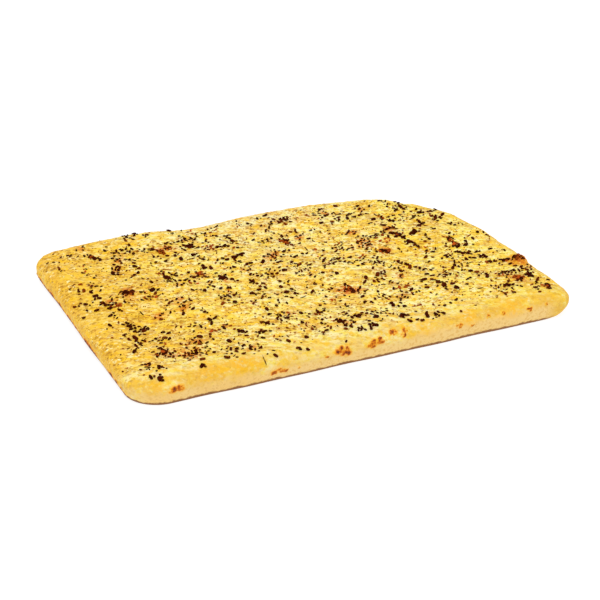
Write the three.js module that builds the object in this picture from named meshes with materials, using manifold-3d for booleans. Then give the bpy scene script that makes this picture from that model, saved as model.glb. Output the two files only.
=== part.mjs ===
// A tray-baked rosemary focaccia: one flat slab of bread with rounded corners, a soft rolled
// shoulder, a gently swelling top, and clots of chopped rosemary baked into the crust.
// Millimetres, +Z up. The origin is the middle of the underside, +X runs along the slab
// and +Y towards its broadly rounded far corner.
import * as THREE from "three";
import { mergeVertices } from "three/addons/utils/BufferGeometryUtils.js";
import Module from "manifold-3d";

// The slab as it comes out of its tray
const length = 380;
const width = 262;
const thickness = 20.5;
const halfLength = length / 2;
const halfWidth = width / 2;

// Corner radii, by the sides that meet there: the far right corner was pulled round by hand
const cornerRadius = { farRight: 121, farLeft: 22, nearLeft: 28, nearRight: 18 };

// The side wall leans out to its widest line, and the shoulder rolls in from there to the top
const widestLineHeight = 11.5;
const heelInset = 3.5;
const shoulderWidth = 15;

// The raw underside bulges down a little until the tray flattens it at height 0, and its near
// right corner curls up off the tray
const bulge = 1.2;
const curl = { lift: 3.2, reach: 40 };
const tray = { overhang: 30, thickness: 10 };

// A bubble of crust that stands up on the right rim, part sunk in it
const rimBubble = { x: 179, y: -59, z: 17, long: 22, broad: 14, high: 14, turn: 62 };
const bubbleDetail = 3;

// Long waves of the top crust: height of the crest, wavelength, heading in degrees, phase
const swells = [
  { crest: 0.8, span: 235, heading: 12, phase: 3.85 },
  { crest: 0.6, span: 128, heading: 97, phase: 0.8 },
  { crest: 1.3, span: 92, heading: 48, phase: 0.8 },
  { crest: 0.45, span: 64, heading: 148, phase: 0.85 },
  { crest: 0.8, span: 49, heading: 78, phase: 2.0 },
];

// The sides wander in and out of line: amplitude, wavelength and phase of each side's waves
const longWave = 128;
const shortWave = 57;
const sideWaves = {
  far: [
    { amplitude: 1.4, span: longWave, phase: -0.25 },
    { amplitude: 0.35, span: shortWave, phase: 3.95 },
  ],
  right: [
    { amplitude: 0.15, span: longWave, phase: 1.4 },
    { amplitude: 0.1, span: shortWave, phase: 3.95 },
  ],
  near: [
    { amplitude: 0.3, span: longWave, phase: 5.65 },
    { amplitude: 0.25, span: shortWave, phase: 0.5 },
  ],
  left: [
    { amplitude: 0.35, span: longWave, phase: 2.45 },
    { amplitude: 0.1, span: shortWave, phase: 3.6 },
  ],
};

// Grid of the slab: lines along, across and up the side wall, drawn closer near the edges
const linesAlong = 36;
const linesAcross = 26;
const linesUp = 4;
const edgeCrowding = 0.4;

// Clots of rosemary that stand out: where they lie, their length and breadth, and their turn
const landmarkClots = [
  { x: 25, y: -48, long: 10, broad: 5.5, turn: 100 },
  { x: -152, y: -89, long: 10.5, broad: 5, turn: 20 },
  { x: 42, y: -109, long: 9, broad: 5, turn: 60 },
  { x: 0, y: -118, long: 6, broad: 4, turn: 10 },
  { x: 10, y: -118, long: 6.5, broad: 4, turn: 35 },
  { x: -10, y: -103, long: 7.5, broad: 4.5, turn: 140 },
  { x: 7, y: -99, long: 7, broad: 4, turn: 50 },
  { x: 33, y: 99, long: 11, broad: 5, turn: 25 },
  { x: 18, y: 65, long: 11, broad: 5, turn: 95 },
  { x: -63, y: 83, long: 9, broad: 6, turn: 70 },
  { x: -142, y: 15, long: 9.5, broad: 6, turn: 165 },
  { x: -75, y: 29, long: 8, broad: 4.5, turn: 110 },
  { x: -62, y: 12, long: 7.5, broad: 4.5, turn: 40 },
  { x: 125, y: 24, long: 9.5, broad: 5.5, turn: 15 },
  { x: 86, y: 7, long: 8.5, broad: 4.5, turn: 150 },
  { x: 145, y: -11, long: 7.5, broad: 5, turn: 80 },
  { x: 157, y: -92, long: 9, broad: 6, turn: 60 },
  { x: 169, y: -89, long: 8, broad: 5, turn: 65 },
  { x: 177, y: -60, long: 9, broad: 5, turn: 130 },
  { x: 172, y: -113, long: 7, broad: 4, turn: 70 },
];

// The other clots, by chance: sizes, and where they may lie
const clotCount = 205;
const clotLength = { least: 3.4, extra: 7, rarity: 3 };
const clotBreadth = { least: 0.45, extra: 0.35 };
const bareMargin = { near: 12, far: 5, left: 10, right: 5 };
const marginFade = 18;
const sprinkleSeed = 2417;

// Drifts where more clots fell: the wavelength and phase along each side, and how bare it is between
const drift = { spanX: 143, phaseX: 0.8, spanY: 97, phaseY: 2.2, mean: 0.75, depth: 0.25 };

// A clot is a lump about half sunk in the crust
const clotHeight = { least: 1.6, share: 0.12 };
const clotSunkShare = 0.47;
const clotRoughness = 0.4;

// Facets that lie this close to one plane become one
const facetTolerance = 0.02;

const crustColour = 0xf4ce68;
const crustRoughness = 0.75;

const wasm = await Module();
wasm.setup();

// Evenly spread numbers from 0 to 1, the same each time for one seed
function drawsFrom(seed) {
  let state = seed;
  return () => {
    state = (Math.imul(state, 1664525) + 1013904223) >>> 0;
    return state / 2 ** 32;
  };
}

function turns(distance, span) {
  return (2 * Math.PI * distance) / span;
}

// How far the top crust swells above its mean level at a place
function swellAt(x, y) {
  return swells.reduce((sum, wave) => {
    const heading = THREE.MathUtils.degToRad(wave.heading);
    const along = x * Math.cos(heading) + y * Math.sin(heading);
    return sum + wave.crest * Math.sin(turns(along, wave.span) + wave.phase);
  }, 0);
}

// How far a side wanders out of line at a distance along it
function wanderAt(side, along) {
  return sideWaves[side].reduce(
    (sum, wave) => sum + wave.amplitude * Math.sin(turns(along, wave.span) + wave.phase),
    0,
  );
}

function cornerRadiusAt(x, y) {
  if (y > 0) return x > 0 ? cornerRadius.farRight : cornerRadius.farLeft;
  return x > 0 ? cornerRadius.nearRight : cornerRadius.nearLeft;
}

// Distance in from the outline, for a place on the slab before its corners are rounded
function edgeDistance(x, y) {
  return Math.min(halfLength - Math.abs(x), halfWidth - Math.abs(y));
}

// Draws the square corner in to its round one, ring by ring, and lets the sides wander
function rounded(x, y) {
  const radius = cornerRadiusAt(x, y);
  const pastX = Math.abs(x) - (halfLength - radius);
  const pastY = Math.abs(y) - (halfWidth - radius);
  let outX = x;
  let outY = y;
  if (pastX > 0 && pastY > 0) {
    const pull = Math.max(pastX, pastY) / Math.hypot(pastX, pastY);
    outX = Math.sign(x) * (halfLength - radius + pastX * pull);
    outY = Math.sign(y) * (halfWidth - radius + pastY * pull);
  }
  return new THREE.Vector2(
    outX + (outX / halfLength) ** 3 * wanderAt(x > 0 ? "right" : "left", outY),
    outY + (outY / halfWidth) ** 3 * wanderAt(y > 0 ? "far" : "near", outX),
  );
}

// Height of the top of the rim's bubble over a place, and 0 off it
function bubbleTop(x, y) {
  const turn = THREE.MathUtils.degToRad(rimBubble.turn);
  const offX = x - rimBubble.x;
  const offY = y - rimBubble.y;
  const along = (offX * Math.cos(turn) + offY * Math.sin(turn)) / (rimBubble.long / 2);
  const across = (offY * Math.cos(turn) - offX * Math.sin(turn)) / (rimBubble.broad / 2);
  const inside = 1 - along ** 2 - across ** 2;
  return inside > 0 ? rimBubble.z + (rimBubble.high / 2) * Math.sqrt(inside) : 0;
}

// Height of the crust over a place, rolling down over the shoulder towards the outline
function crustHeight(x, y) {
  const crest = thickness + swellAt(x, y);
  const short = Math.max(0, 1 - edgeDistance(x, y) / shoulderWidth);
  const rolled = crest - (crest - widestLineHeight) * (1 - Math.sqrt(1 - short ** 2));
  return Math.max(rolled, bubbleTop(x, y));
}

// Height of the raw underside: below the tray's face, but for the corner that curls up
function undersideAt(x, y) {
  const away = Math.hypot(halfLength - x, halfWidth + y);
  return curl.lift * THREE.MathUtils.smoothstep(curl.reach - away, 0, curl.reach) - bulge;
}

// One corner of the unit block moved to its place on the slab
function moulded(corner) {
  const spread = (t) => t * (1 + edgeCrowding) - edgeCrowding * t ** 3;
  const flatX = halfLength * spread(corner.x);
  const flatY = halfWidth * spread(corner.y);
  const place = rounded(flatX, flatY);
  if (corner.z === 1) return new THREE.Vector3(place.x, place.y, crustHeight(flatX, flatY));
  const rise = (corner.z + 1) / 2;
  const inset = heelInset * (1 - rise) ** 2;
  return new THREE.Vector3(
    place.x * (1 - inset / halfLength),
    place.y * (1 - inset / halfWidth),
    THREE.MathUtils.lerp(undersideAt(flatX, flatY), widestLineHeight, rise),
  );
}

// A closed mesh of shared positions alone
function welded(geometry) {
  geometry.deleteAttribute("normal");
  geometry.deleteAttribute("uv");
  return mergeVertices(geometry, 1e-4);
}

function slabGeometry() {
  const block = welded(new THREE.BoxGeometry(2, 2, 2, linesAlong, linesAcross, linesUp));
  const positions = block.getAttribute("position");
  const corner = new THREE.Vector3();
  for (let i = 0; i < positions.count; i++) {
    corner.fromBufferAttribute(positions, i);
    positions.setXYZ(i, ...moulded(corner).toArray());
  }
  return block;
}

function bubbleGeometry() {
  return welded(new THREE.IcosahedronGeometry(1, bubbleDetail))
    .scale(rimBubble.long / 2, rimBubble.broad / 2, rimBubble.high / 2)
    .rotateZ(THREE.MathUtils.degToRad(rimBubble.turn))
    .translate(rimBubble.x, rimBubble.y, rimBubble.z);
}

// How likely rosemary is to lie at a place: none by the edges, and thicker in drifts inside
function sprinkledAt(x, y) {
  const room = Math.min(
    y + halfWidth - bareMargin.near,
    halfWidth - y - bareMargin.far,
    x + halfLength - bareMargin.left,
    halfLength - x - bareMargin.right,
  );
  const alongX = Math.sin(turns(x, drift.spanX) + drift.phaseX);
  const alongY = Math.sin(turns(y, drift.spanY) + drift.phaseY);
  const thickening = drift.mean + drift.depth * alongX * alongY;
  return thickening * THREE.MathUtils.clamp(room / marginFade, 0, 1);
}

// Where the clots lie and how large they are, the landmarks first
function clotPlaces() {
  const draw = drawsFrom(sprinkleSeed);
  const places = landmarkClots.map((clot) => ({
    ...clot,
    turn: THREE.MathUtils.degToRad(clot.turn),
  }));
  while (places.length < clotCount) {
    const x = (draw() - 0.5) * length;
    const y = (draw() - 0.5) * width;
    const chance = draw();
    const long = clotLength.least + clotLength.extra * draw() ** clotLength.rarity;
    const broad = long * (clotBreadth.least + clotBreadth.extra * draw());
    const turn = draw() * Math.PI;
    if (chance < sprinkledAt(x, y)) places.push({ x, y, long, broad, turn });
  }
  return places;
}

// One clot as an uneven lump, part sunk in the crust
function clotGeometry(clot, draw) {
  const lump = welded(new THREE.IcosahedronGeometry(1, 0));
  const positions = lump.getAttribute("position");
  for (let i = 0; i < positions.count; i++) {
    const reach = 1 - clotRoughness * draw();
    positions.setXYZ(
      i,
      positions.getX(i) * reach,
      positions.getY(i) * reach,
      positions.getZ(i) * reach,
    );
  }
  const high = clotHeight.least + clotHeight.share * clot.long;
  const place = rounded(clot.x, clot.y);
  return lump
    .scale(clot.long / 2, clot.broad / 2, high / 2)
    .rotateZ(clot.turn)
    .translate(place.x, place.y, crustHeight(clot.x, clot.y) + high * (0.5 - clotSunkShare));
}

function solidOf(geometry) {
  return new wasm.Manifold(
    new wasm.Mesh({
      numProp: 3,
      vertProperties: geometry.getAttribute("position").array,
      triVerts: new Uint32Array(geometry.index.array),
    }),
  );
}

function geometryOf(solid) {
  const mesh = solid.getMesh();
  return new THREE.BufferGeometry()
    .setAttribute("position", new THREE.BufferAttribute(mesh.vertProperties, mesh.numProp))
    .setIndex(new THREE.BufferAttribute(mesh.triVerts, 1));
}

// The tray under the slab, with its face at height 0
function trayGeometry() {
  const across = 2 * tray.overhang;
  return welded(
    new THREE.BoxGeometry(length + across, width + across, tray.thickness).translate(
      0,
      0,
      -tray.thickness / 2,
    ),
  );
}

// The bread and its baked-on rosemary as one solid, flat where it lay on the tray
function focacciaGeometry() {
  const draw = drawsFrom(sprinkleSeed + 1);
  const lumps = clotPlaces().map((clot) => solidOf(clotGeometry(clot, draw)));
  const slab = solidOf(slabGeometry()).subtract(solidOf(trayGeometry()));
  const whole = wasm.Manifold.union([slab, solidOf(bubbleGeometry()), ...lumps]);
  return geometryOf(whole.simplify(facetTolerance));
}

const focaccia = new THREE.Mesh(
  focacciaGeometry(),
  new THREE.MeshStandardMaterial({
    color: crustColour,
    roughness: crustRoughness,
    metalness: 0,
    flatShading: true,
  }),
);
focaccia.name = "focaccia";

const group = new THREE.Group();
group.add(focaccia);

export default group;
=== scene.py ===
"""Rosemary focaccia: the looks of one tray-baked slab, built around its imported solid.

The bread is rebuilt finely from the sizes that its solid has, with the wrinkles, blisters and
browning of its crust. The rosemary lies where the same seeded rule puts it, each clot as the
flecks it is made of, with strewn flecks, needles and dust between them. Sizes are in
millimetres and angles in radians unless their class says otherwise, and meshes are in metres.
"""

import logging
import math
from dataclasses import dataclass
from enum import Enum
from typing import NamedTuple

import bpy
import numpy as np
from mathutils import Matrix, Vector


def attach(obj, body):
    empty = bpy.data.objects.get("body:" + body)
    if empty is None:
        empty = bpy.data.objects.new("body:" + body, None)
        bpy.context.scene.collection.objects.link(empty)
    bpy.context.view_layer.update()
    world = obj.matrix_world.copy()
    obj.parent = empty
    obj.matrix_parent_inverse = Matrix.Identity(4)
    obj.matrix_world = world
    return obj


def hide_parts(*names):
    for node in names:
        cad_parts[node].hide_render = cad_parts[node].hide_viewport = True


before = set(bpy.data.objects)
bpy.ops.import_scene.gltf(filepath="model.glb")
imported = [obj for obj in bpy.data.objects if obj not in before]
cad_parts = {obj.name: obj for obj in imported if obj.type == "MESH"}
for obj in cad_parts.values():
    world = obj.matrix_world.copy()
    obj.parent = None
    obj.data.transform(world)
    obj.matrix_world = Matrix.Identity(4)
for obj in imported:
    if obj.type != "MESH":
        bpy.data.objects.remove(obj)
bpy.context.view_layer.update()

MM = 0.001
BODY = "root"
NODE = "focaccia"

Colour = tuple[float, float, float, float]
Socket = bpy.types.NodeSocket
Value = Socket | float | int | tuple
Range = tuple[float, float]
Triple = tuple[float, float, float]

log = logging.getLogger("focaccia")


def paint(red: int, green: int, blue: int) -> Colour:
    """Turns a screen colour into the linear colour that a shader takes.

    Args:
        red: Red from 0 to 255.
        green: Green from 0 to 255.
        blue: Blue from 0 to 255.

    Returns:
        Linear red, green, blue and an alpha of 1.
    """
    linear = (
        share / 12.92 if share <= 0.04045 else ((share + 0.055) / 1.055) ** 2.4
        for share in (red / 255, green / 255, blue / 255)
    )
    return (*linear, 1.0)


class Draws:
    """Evenly spread numbers from 0 to 1, the same each time for one seed."""

    FACTOR = 1664525
    STEP = 1013904223
    STATES = 2**32

    def __init__(self, seed: int) -> None:
        """Starts the row of numbers that belongs to a seed."""
        self.state = seed

    def draw(self) -> float:
        """Returns the next number."""
        self.state = (self.state * self.FACTOR + self.STEP) % self.STATES
        return self.state / self.STATES

    def between(self, low: float, high: float) -> float:
        """Returns the next number, spread from low to high."""
        return low + (high - low) * self.draw()


class Patchwork(NamedTuple):
    """Soft patches of a noise: its size, its finer layers, and where the patches start and are full."""

    span: float
    detail: float
    rough: float
    start: float
    full: float


class Sketch:
    """A node tree drawn in code: each call adds one node and gives back what it puts out."""

    DOT_EDGE = (0.1, -0.14)

    def __init__(self, tree: bpy.types.NodeTree) -> None:
        """Draws in an existing tree."""
        self.tree = tree

    def put(self, socket: Socket, value: Value) -> None:
        """Links a socket to an output, or sets it to a constant.

        Args:
            socket: The socket.
            value: Another node's output, or the constant.
        """
        if isinstance(value, bpy.types.NodeSocket):
            self.tree.links.new(value, socket)
        else:
            socket.default_value = value

    def node(self, kind: str, inputs: dict, **settings: str | bool) -> bpy.types.Node:
        """Adds one node.

        Args:
            kind: The node's type name.
            inputs: What goes into its sockets, by their names or places.
            settings: The node's own options.

        Returns:
            The node.
        """
        made = self.tree.nodes.new(kind)
        for name, option in settings.items():
            setattr(made, name, option)
        for socket, value in inputs.items():
            self.put(made.inputs[socket], value)
        return made

    def maths(self, operation: str, *values: Value) -> Socket:
        """Adds a sum on numbers and returns its result."""
        return self.node("ShaderNodeMath", dict(enumerate(values)), operation=operation).outputs[0]

    def times(self, *values: Value) -> Socket:
        """Multiplies two or more numbers.

        Args:
            values: The numbers.

        Returns:
            Their product.
        """
        product = values[0]
        for value in values[1:]:
            product = self.maths("MULTIPLY", product, value)
        return product

    def scaled(self, vector: Value, share: Value) -> Socket:
        """Scales a vector by a number."""
        inputs = {0: vector, "Scale": share}
        return self.node("ShaderNodeVectorMath", inputs, operation="SCALE").outputs[0]

    def moved(self, vector: Value, by: Value) -> Socket:
        """Adds two vectors."""
        return self.node("ShaderNodeVectorMath", {0: vector, 1: by}, operation="ADD").outputs[0]

    def noise(self, where: Value, span: float, detail: float = 2, rough: float = 0.5) -> bpy.types.Node:
        """Adds a noise.

        Args:
            where: The place that it is read at.
            span: How large its largest lumps are, about.
            detail: How many finer layers it has.
            rough: How strong the finer layers are.

        Returns:
            The noise node, which puts out a number and a colour.
        """
        inputs = {"Vector": where, "Scale": 1 / (span * MM), "Detail": detail, "Roughness": rough}
        return self.node("ShaderNodeTexNoise", inputs)

    def level(self, where: Value, span: float, detail: float = 2, rough: float = 0.5) -> Socket:
        """Adds a noise and returns its number, from 0 to 1 about 0.5."""
        return self.noise(where, span, detail, rough).outputs[0]

    def sway(self, where: Value, span: float, detail: float = 2, rough: float = 0.5) -> Socket:
        """Adds a noise and returns its number, from -0.5 to 0.5 about 0."""
        return self.maths("SUBTRACT", self.level(where, span, detail, rough), 0.5)

    def shake(self, where: Value, span: float, detail: float, rough: float) -> Socket:
        """Adds a noise and returns its colour as a vector, from -0.5 to 0.5 about 0 each way."""
        return self.moved(self.noise(where, span, detail, rough).outputs["Color"], (-0.5, -0.5, -0.5))

    def patches(self, where: Value, kind: Patchwork) -> Socket:
        """Adds soft patches, 1 in them and 0 off them."""
        return self.rise(self.level(where, kind.span, kind.detail, kind.rough), kind.start, kind.full)

    def rise(self, value: Value, low: Value, high: Value) -> Socket:
        """Adds a soft step from 0 at low to 1 at high, also where low is the larger.

        Args:
            value: The number that climbs the step.
            low: Where the step is 0.
            high: Where the step is 1.

        Returns:
            How far up the step the number is.
        """
        inputs = {"Value": value, "From Min": low, "From Max": high}
        made = self.node("ShaderNodeMapRange", inputs, interpolation_type="SMOOTHSTEP")
        return made.outputs[0]

    def fade(self, place: Value, between: Range) -> Socket:
        """Adds a soft step between two places, which are given in millimetres."""
        return self.rise(place, between[0] * MM, between[1] * MM)

    def creases(self, where: Value, span: float, breadth: float) -> Socket:
        """Adds thin winding lines.

        Args:
            where: The place that they are read at.
            span: How far apart the lines lie, about.
            breadth: How broad a line is, as a share of the noise that it follows.

        Returns:
            1 on a line and 0 off it.
        """
        off_line = self.maths("ABSOLUTE", self.sway(where, span, detail=2.5, rough=0.6))
        return self.rise(off_line, breadth, 0.0)

    def dots(self, where: Value, span: float, largest: float) -> tuple[Socket, Socket]:
        """Adds dots of all sizes.

        Args:
            where: The place that they are read at.
            span: How far apart the dots lie, about.
            largest: The radius of the largest dot, as a share of the span.

        Returns:
            1 in a dot and 0 off it, and a number from 0 to 1 that each dot has for itself.
        """
        cells = self.node("ShaderNodeTexVoronoi", {"Vector": where, "Scale": 1 / (span * MM)})
        own = self.node("ShaderNodeSeparateColor", {0: cells.outputs["Color"]})
        outside = self.maths("SUBTRACT", cells.outputs["Distance"], self.times(own.outputs[0], largest))
        return self.rise(outside, *self.DOT_EDGE), own.outputs[1]

    def blend(self, share: Value, under: Value, over: Value) -> Socket:
        """Adds a mix of two colours."""
        return self.node("ShaderNodeMix", {0: share, 6: under, 7: over}, data_type="RGBA").outputs[2]

    def ramp(self, share: Value, stops: dict[float, Colour]) -> Socket:
        """Adds a row of colours.

        Args:
            share: How far along the row to look, from 0 to 1.
            stops: The colour at each share along it.

        Returns:
            The colour there.
        """
        made = self.node("ShaderNodeValToRGB", {0: share})
        elements = made.color_ramp.elements
        while len(elements) < len(stops):
            elements.new(1.0)
        for element, (place, colour) in zip(elements, sorted(stops.items())):
            element.position = place
            element.color = colour
        return made.outputs[0]


class Side(Enum):
    """The four sides of the slab."""

    FAR = "far"
    RIGHT = "right"
    NEAR = "near"
    LEFT = "left"


class Wave(NamedTuple):
    """One wave of a side: how far it wanders out of line, its length and its phase."""

    amplitude: float
    span: float
    phase: float


class Swell(NamedTuple):
    """One long wave of the top crust: its height, its length, its heading in degrees and its phase."""

    crest: float
    span: float
    heading: float
    phase: float


LONG_WAVE = 128.0
SHORT_WAVE = 57.0
SIDE_WAVES = {
    Side.FAR: (Wave(1.4, LONG_WAVE, -0.25), Wave(0.35, SHORT_WAVE, 3.95)),
    Side.RIGHT: (Wave(0.15, LONG_WAVE, 1.4), Wave(0.1, SHORT_WAVE, 3.95)),
    Side.NEAR: (Wave(0.3, LONG_WAVE, 5.65), Wave(0.25, SHORT_WAVE, 0.5)),
    Side.LEFT: (Wave(0.35, LONG_WAVE, 2.45), Wave(0.1, SHORT_WAVE, 3.6)),
}
SWELLS = (
    Swell(0.8, 235, 12, 3.85),
    Swell(0.6, 128, 97, 0.8),
    Swell(1.3, 92, 48, 0.8),
    Swell(0.45, 64, 148, 0.85),
    Swell(0.8, 49, 78, 2.0),
)


@dataclass(frozen=True)
class RimBubble:
    """A bubble of crust on the right rim, part sunk in it."""

    x: float = 179.0
    y: float = -59.0
    z: float = 17.0
    long: float = 22.0
    broad: float = 14.0
    high: float = 14.0
    turn: float = math.radians(62)

    def inside(self, x: np.ndarray, y: np.ndarray) -> np.ndarray:
        """Works out how far inside the bubble each place lies.

        Args:
            x: Places along the square slab.
            y: Places across it.

        Returns:
            1 over the middle of the bubble, 0 at its foot and less beyond it.
        """
        off_x = x - self.x
        off_y = y - self.y
        along = (off_x * math.cos(self.turn) + off_y * math.sin(self.turn)) / (self.long / 2)
        across = (off_y * math.cos(self.turn) - off_x * math.sin(self.turn)) / (self.broad / 2)
        return 1 - along**2 - across**2

    def top(self, x: np.ndarray, y: np.ndarray) -> np.ndarray:
        """Height of the bubble over each place, and 0 off it."""
        inside = self.inside(x, y)
        return np.where(inside > 0, self.z + self.high / 2 * np.sqrt(np.maximum(inside, 0)), 0)


@dataclass(frozen=True)
class SlabForm:
    """The slab's form, as its solid has it."""

    length: float = 380.0
    width: float = 262.0
    thickness: float = 20.5
    far_right_radius: float = 121.0
    far_left_radius: float = 22.0
    near_left_radius: float = 28.0
    near_right_radius: float = 18.0
    widest_line_height: float = 11.5
    heel_inset: float = 3.5
    shoulder_width: float = 15.0
    bulge: float = 1.2
    curl_lift: float = 3.2
    curl_reach: float = 40.0
    bubble: RimBubble = RimBubble()

    @property
    def half_length(self) -> float:
        """Half the slab's length."""
        return self.length / 2

    @property
    def half_width(self) -> float:
        """Half the slab's width."""
        return self.width / 2

    def swell(self, x: np.ndarray, y: np.ndarray) -> np.ndarray:
        """Adds the long waves of the top crust up.

        Args:
            x: Places along the square slab.
            y: Places across it.

        Returns:
            How far the crust swells above its mean level at each place.
        """
        total = np.zeros_like(x)
        for wave in SWELLS:
            heading = math.radians(wave.heading)
            along = x * math.cos(heading) + y * math.sin(heading)
            total = total + wave.crest * np.sin(2 * math.pi * along / wave.span + wave.phase)
        return total

    def wander(self, side: Side, along: np.ndarray) -> np.ndarray:
        """How far a side wanders out of line at distances along it."""
        return sum(
            wave.amplitude * np.sin(2 * math.pi * along / wave.span + wave.phase)
            for wave in SIDE_WAVES[side]
        )

    def corner_radius(self, x: np.ndarray, y: np.ndarray) -> np.ndarray:
        """Finds the corner that each place belongs to.

        Args:
            x: Places along the square slab.
            y: Places across it.

        Returns:
            The radius of that corner, at each place.
        """
        far = np.where(x > 0, self.far_right_radius, self.far_left_radius)
        near = np.where(x > 0, self.near_right_radius, self.near_left_radius)
        return np.where(y > 0, far, near)

    def shoulder_share(self, x: np.ndarray, y: np.ndarray) -> np.ndarray:
        """How far out on the shoulder each place of the square slab lies, 0 on the top and 1 at the rim."""
        edge_distance = np.minimum(self.half_length - np.abs(x), self.half_width - np.abs(y))
        return np.clip(1 - edge_distance / self.shoulder_width, 0, 1)

    def rounded(self, x: np.ndarray, y: np.ndarray) -> tuple[np.ndarray, np.ndarray]:
        """Draws the square corners in to their round ones and lets the sides wander.

        Args:
            x: Places along the square slab.
            y: Places across the square slab.

        Returns:
            The places on the real slab, along and across.
        """
        radius = self.corner_radius(x, y)
        past_x = np.abs(x) - (self.half_length - radius)
        past_y = np.abs(y) - (self.half_width - radius)
        in_corner = (past_x > 0) & (past_y > 0)
        reach = np.where(in_corner, np.hypot(past_x, past_y), 1)
        pull = np.where(in_corner, np.maximum(past_x, past_y) / reach, 1)
        out_x = np.where(in_corner, np.sign(x) * (self.half_length - radius + past_x * pull), x)
        out_y = np.where(in_corner, np.sign(y) * (self.half_width - radius + past_y * pull), y)
        sideways = np.where(x > 0, self.wander(Side.RIGHT, out_y), self.wander(Side.LEFT, out_y))
        lengthways = np.where(y > 0, self.wander(Side.FAR, out_x), self.wander(Side.NEAR, out_x))
        return (
            out_x + (out_x / self.half_length) ** 3 * sideways,
            out_y + (out_y / self.half_width) ** 3 * lengthways,
        )

    def crust_height(self, x: np.ndarray, y: np.ndarray) -> np.ndarray:
        """Works out the crust, down over its shoulder.

        Args:
            x: Places along the square slab.
            y: Places across it.

        Returns:
            The height of the crust over each place.
        """
        crest = self.thickness + self.swell(x, y)
        fallen = 1 - np.sqrt(1 - self.shoulder_share(x, y) ** 2)
        return np.maximum(crest - (crest - self.widest_line_height) * fallen, self.bubble.top(x, y))

    def underside(self, x: np.ndarray, y: np.ndarray) -> np.ndarray:
        """Works out the raw underside, which curls up at one corner.

        Args:
            x: Places along the square slab.
            y: Places across it.

        Returns:
            Its height at each place, which is below the tray's face but at that corner.
        """
        away = np.hypot(self.half_length - x, self.half_width + y)
        share = np.clip((self.curl_reach - away) / self.curl_reach, 0, 1)
        return self.curl_lift * share**2 * (3 - 2 * share) - self.bulge


class Clot(NamedTuple):
    """One clot of rosemary: its place on the square slab, its sizes, its turn and its redness.

    The lists below give the turn in degrees.
    """

    x: float
    y: float
    long: float
    broad: float
    turn: float
    red: float = 0.0

    def turned(self) -> "Clot":
        """The same clot with its turn, given in degrees, in radians."""
        return self._replace(turn=math.radians(self.turn))


class Fleck(NamedTuple):
    """One fleck of rosemary: its place on the square slab, its sizes, how it lies and its tone."""

    x: float
    y: float
    long: float
    broad: float
    high: float
    turn: float
    tilt: float
    tone: float


LANDMARK_CLOTS = (
    Clot(25, -48, 10, 5.5, 100, red=0.9),
    Clot(-152, -89, 10.5, 5, 20, red=0.3),
    Clot(42, -109, 9, 5, 60),
    Clot(0, -118, 6, 4, 10, red=0.2),
    Clot(10, -118, 6.5, 4, 35, red=0.3),
    Clot(-10, -103, 7.5, 4.5, 140, red=0.3),
    Clot(7, -99, 7, 4, 50),
    Clot(33, 99, 11, 5, 25),
    Clot(18, 65, 11, 5, 95),
    Clot(-63, 83, 9, 6, 70),
    Clot(-142, 15, 9.5, 6, 165),
    Clot(-75, 29, 8, 4.5, 110, red=0.6),
    Clot(-62, 12, 7.5, 4.5, 40),
    Clot(125, 24, 9.5, 5.5, 15),
    Clot(86, 7, 8.5, 4.5, 150, red=0.6),
    Clot(145, -11, 7.5, 5, 80, red=0.2),
    Clot(157, -92, 9, 6, 60),
    Clot(169, -89, 8, 5, 65),
    Clot(177, -60, 9, 5, 130, red=0.3),
    Clot(172, -113, 7, 4, 70, red=0.3),
)
LOOSE_CLOTS = (
    Clot(168, -54, 7, 3, 155, red=0.3),
    Clot(156, -49, 6, 3, 155, red=0.1),
    Clot(-131, -122, 4.5, 2.5, 150, red=0.2),
    Clot(-111, -118, 3.5, 2, 170),
    Clot(-166, -124, 3.5, 2.5, 150),
    Clot(-161, -111, 5, 3, 20),
    Clot(66, -119, 4, 2.5, 160),
    Clot(42, -119, 4, 2, 160),
    Clot(30, -106, 2, 1, 170),
    Clot(-76, -126, 2, 1, 10),
    Clot(-55, -122, 3.5, 2, 160),
    Clot(-49, -125, 2, 1, 10),
    Clot(-16, -127, 2, 1, 120),
    Clot(17, 58, 15, 2.5, 101),
    Clot(111, 27, 14, 2.5, 97),
    Clot(113, 9, 17, 2.5, 107),
    Clot(88, -22, 9, 3, 116),
    Clot(-41, -4, 6, 4, 126),
    Clot(-63, -6, 4, 3, 135),
    Clot(-49, -22, 6, 3, 112),
    Clot(-165, 9, 10, 2.5, 131),
    Clot(-158, 0, 11, 2.5, 12),
    Clot(-144, 97, 15, 3, 126),
    Clot(-158, -36, 12, 2, 94),
    Clot(-148, -43, 6, 3, 0),
    Clot(-83, -81, 7, 3, 125),
    Clot(-71, -90, 8, 3, 173),
    Clot(-61, -80, 8, 3, 127),
    Clot(-102, 34, 14, 2.5, 84),
    Clot(-90, 78, 17, 2.5, 114),
    Clot(-38, 69, 13, 2.5, 8),
    Clot(-37, 44, 15, 2.5, 14),
    Clot(145, -4, 14, 2.5, 108),
    Clot(142, -27, 15, 2.5, 139),
    Clot(155, -40, 6, 3.5, 138),
    Clot(64, -64, 11, 2.5, 177),
    Clot(94, -75, 18, 2.5, 98),
    Clot(141, -100, 9, 2.5, 163),
)
UPRIGHT_NEEDLE = Fleck(x=-85, y=-128, long=7, broad=0.6, high=0.5, turn=math.pi / 2 + 0.1, tilt=0, tone=0.2)


class Patch(NamedTuple):
    """A soft round patch of the top: its middle, how far it reaches and how much it gives or takes."""

    x: float
    y: float
    reach: float
    gain: float


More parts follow.
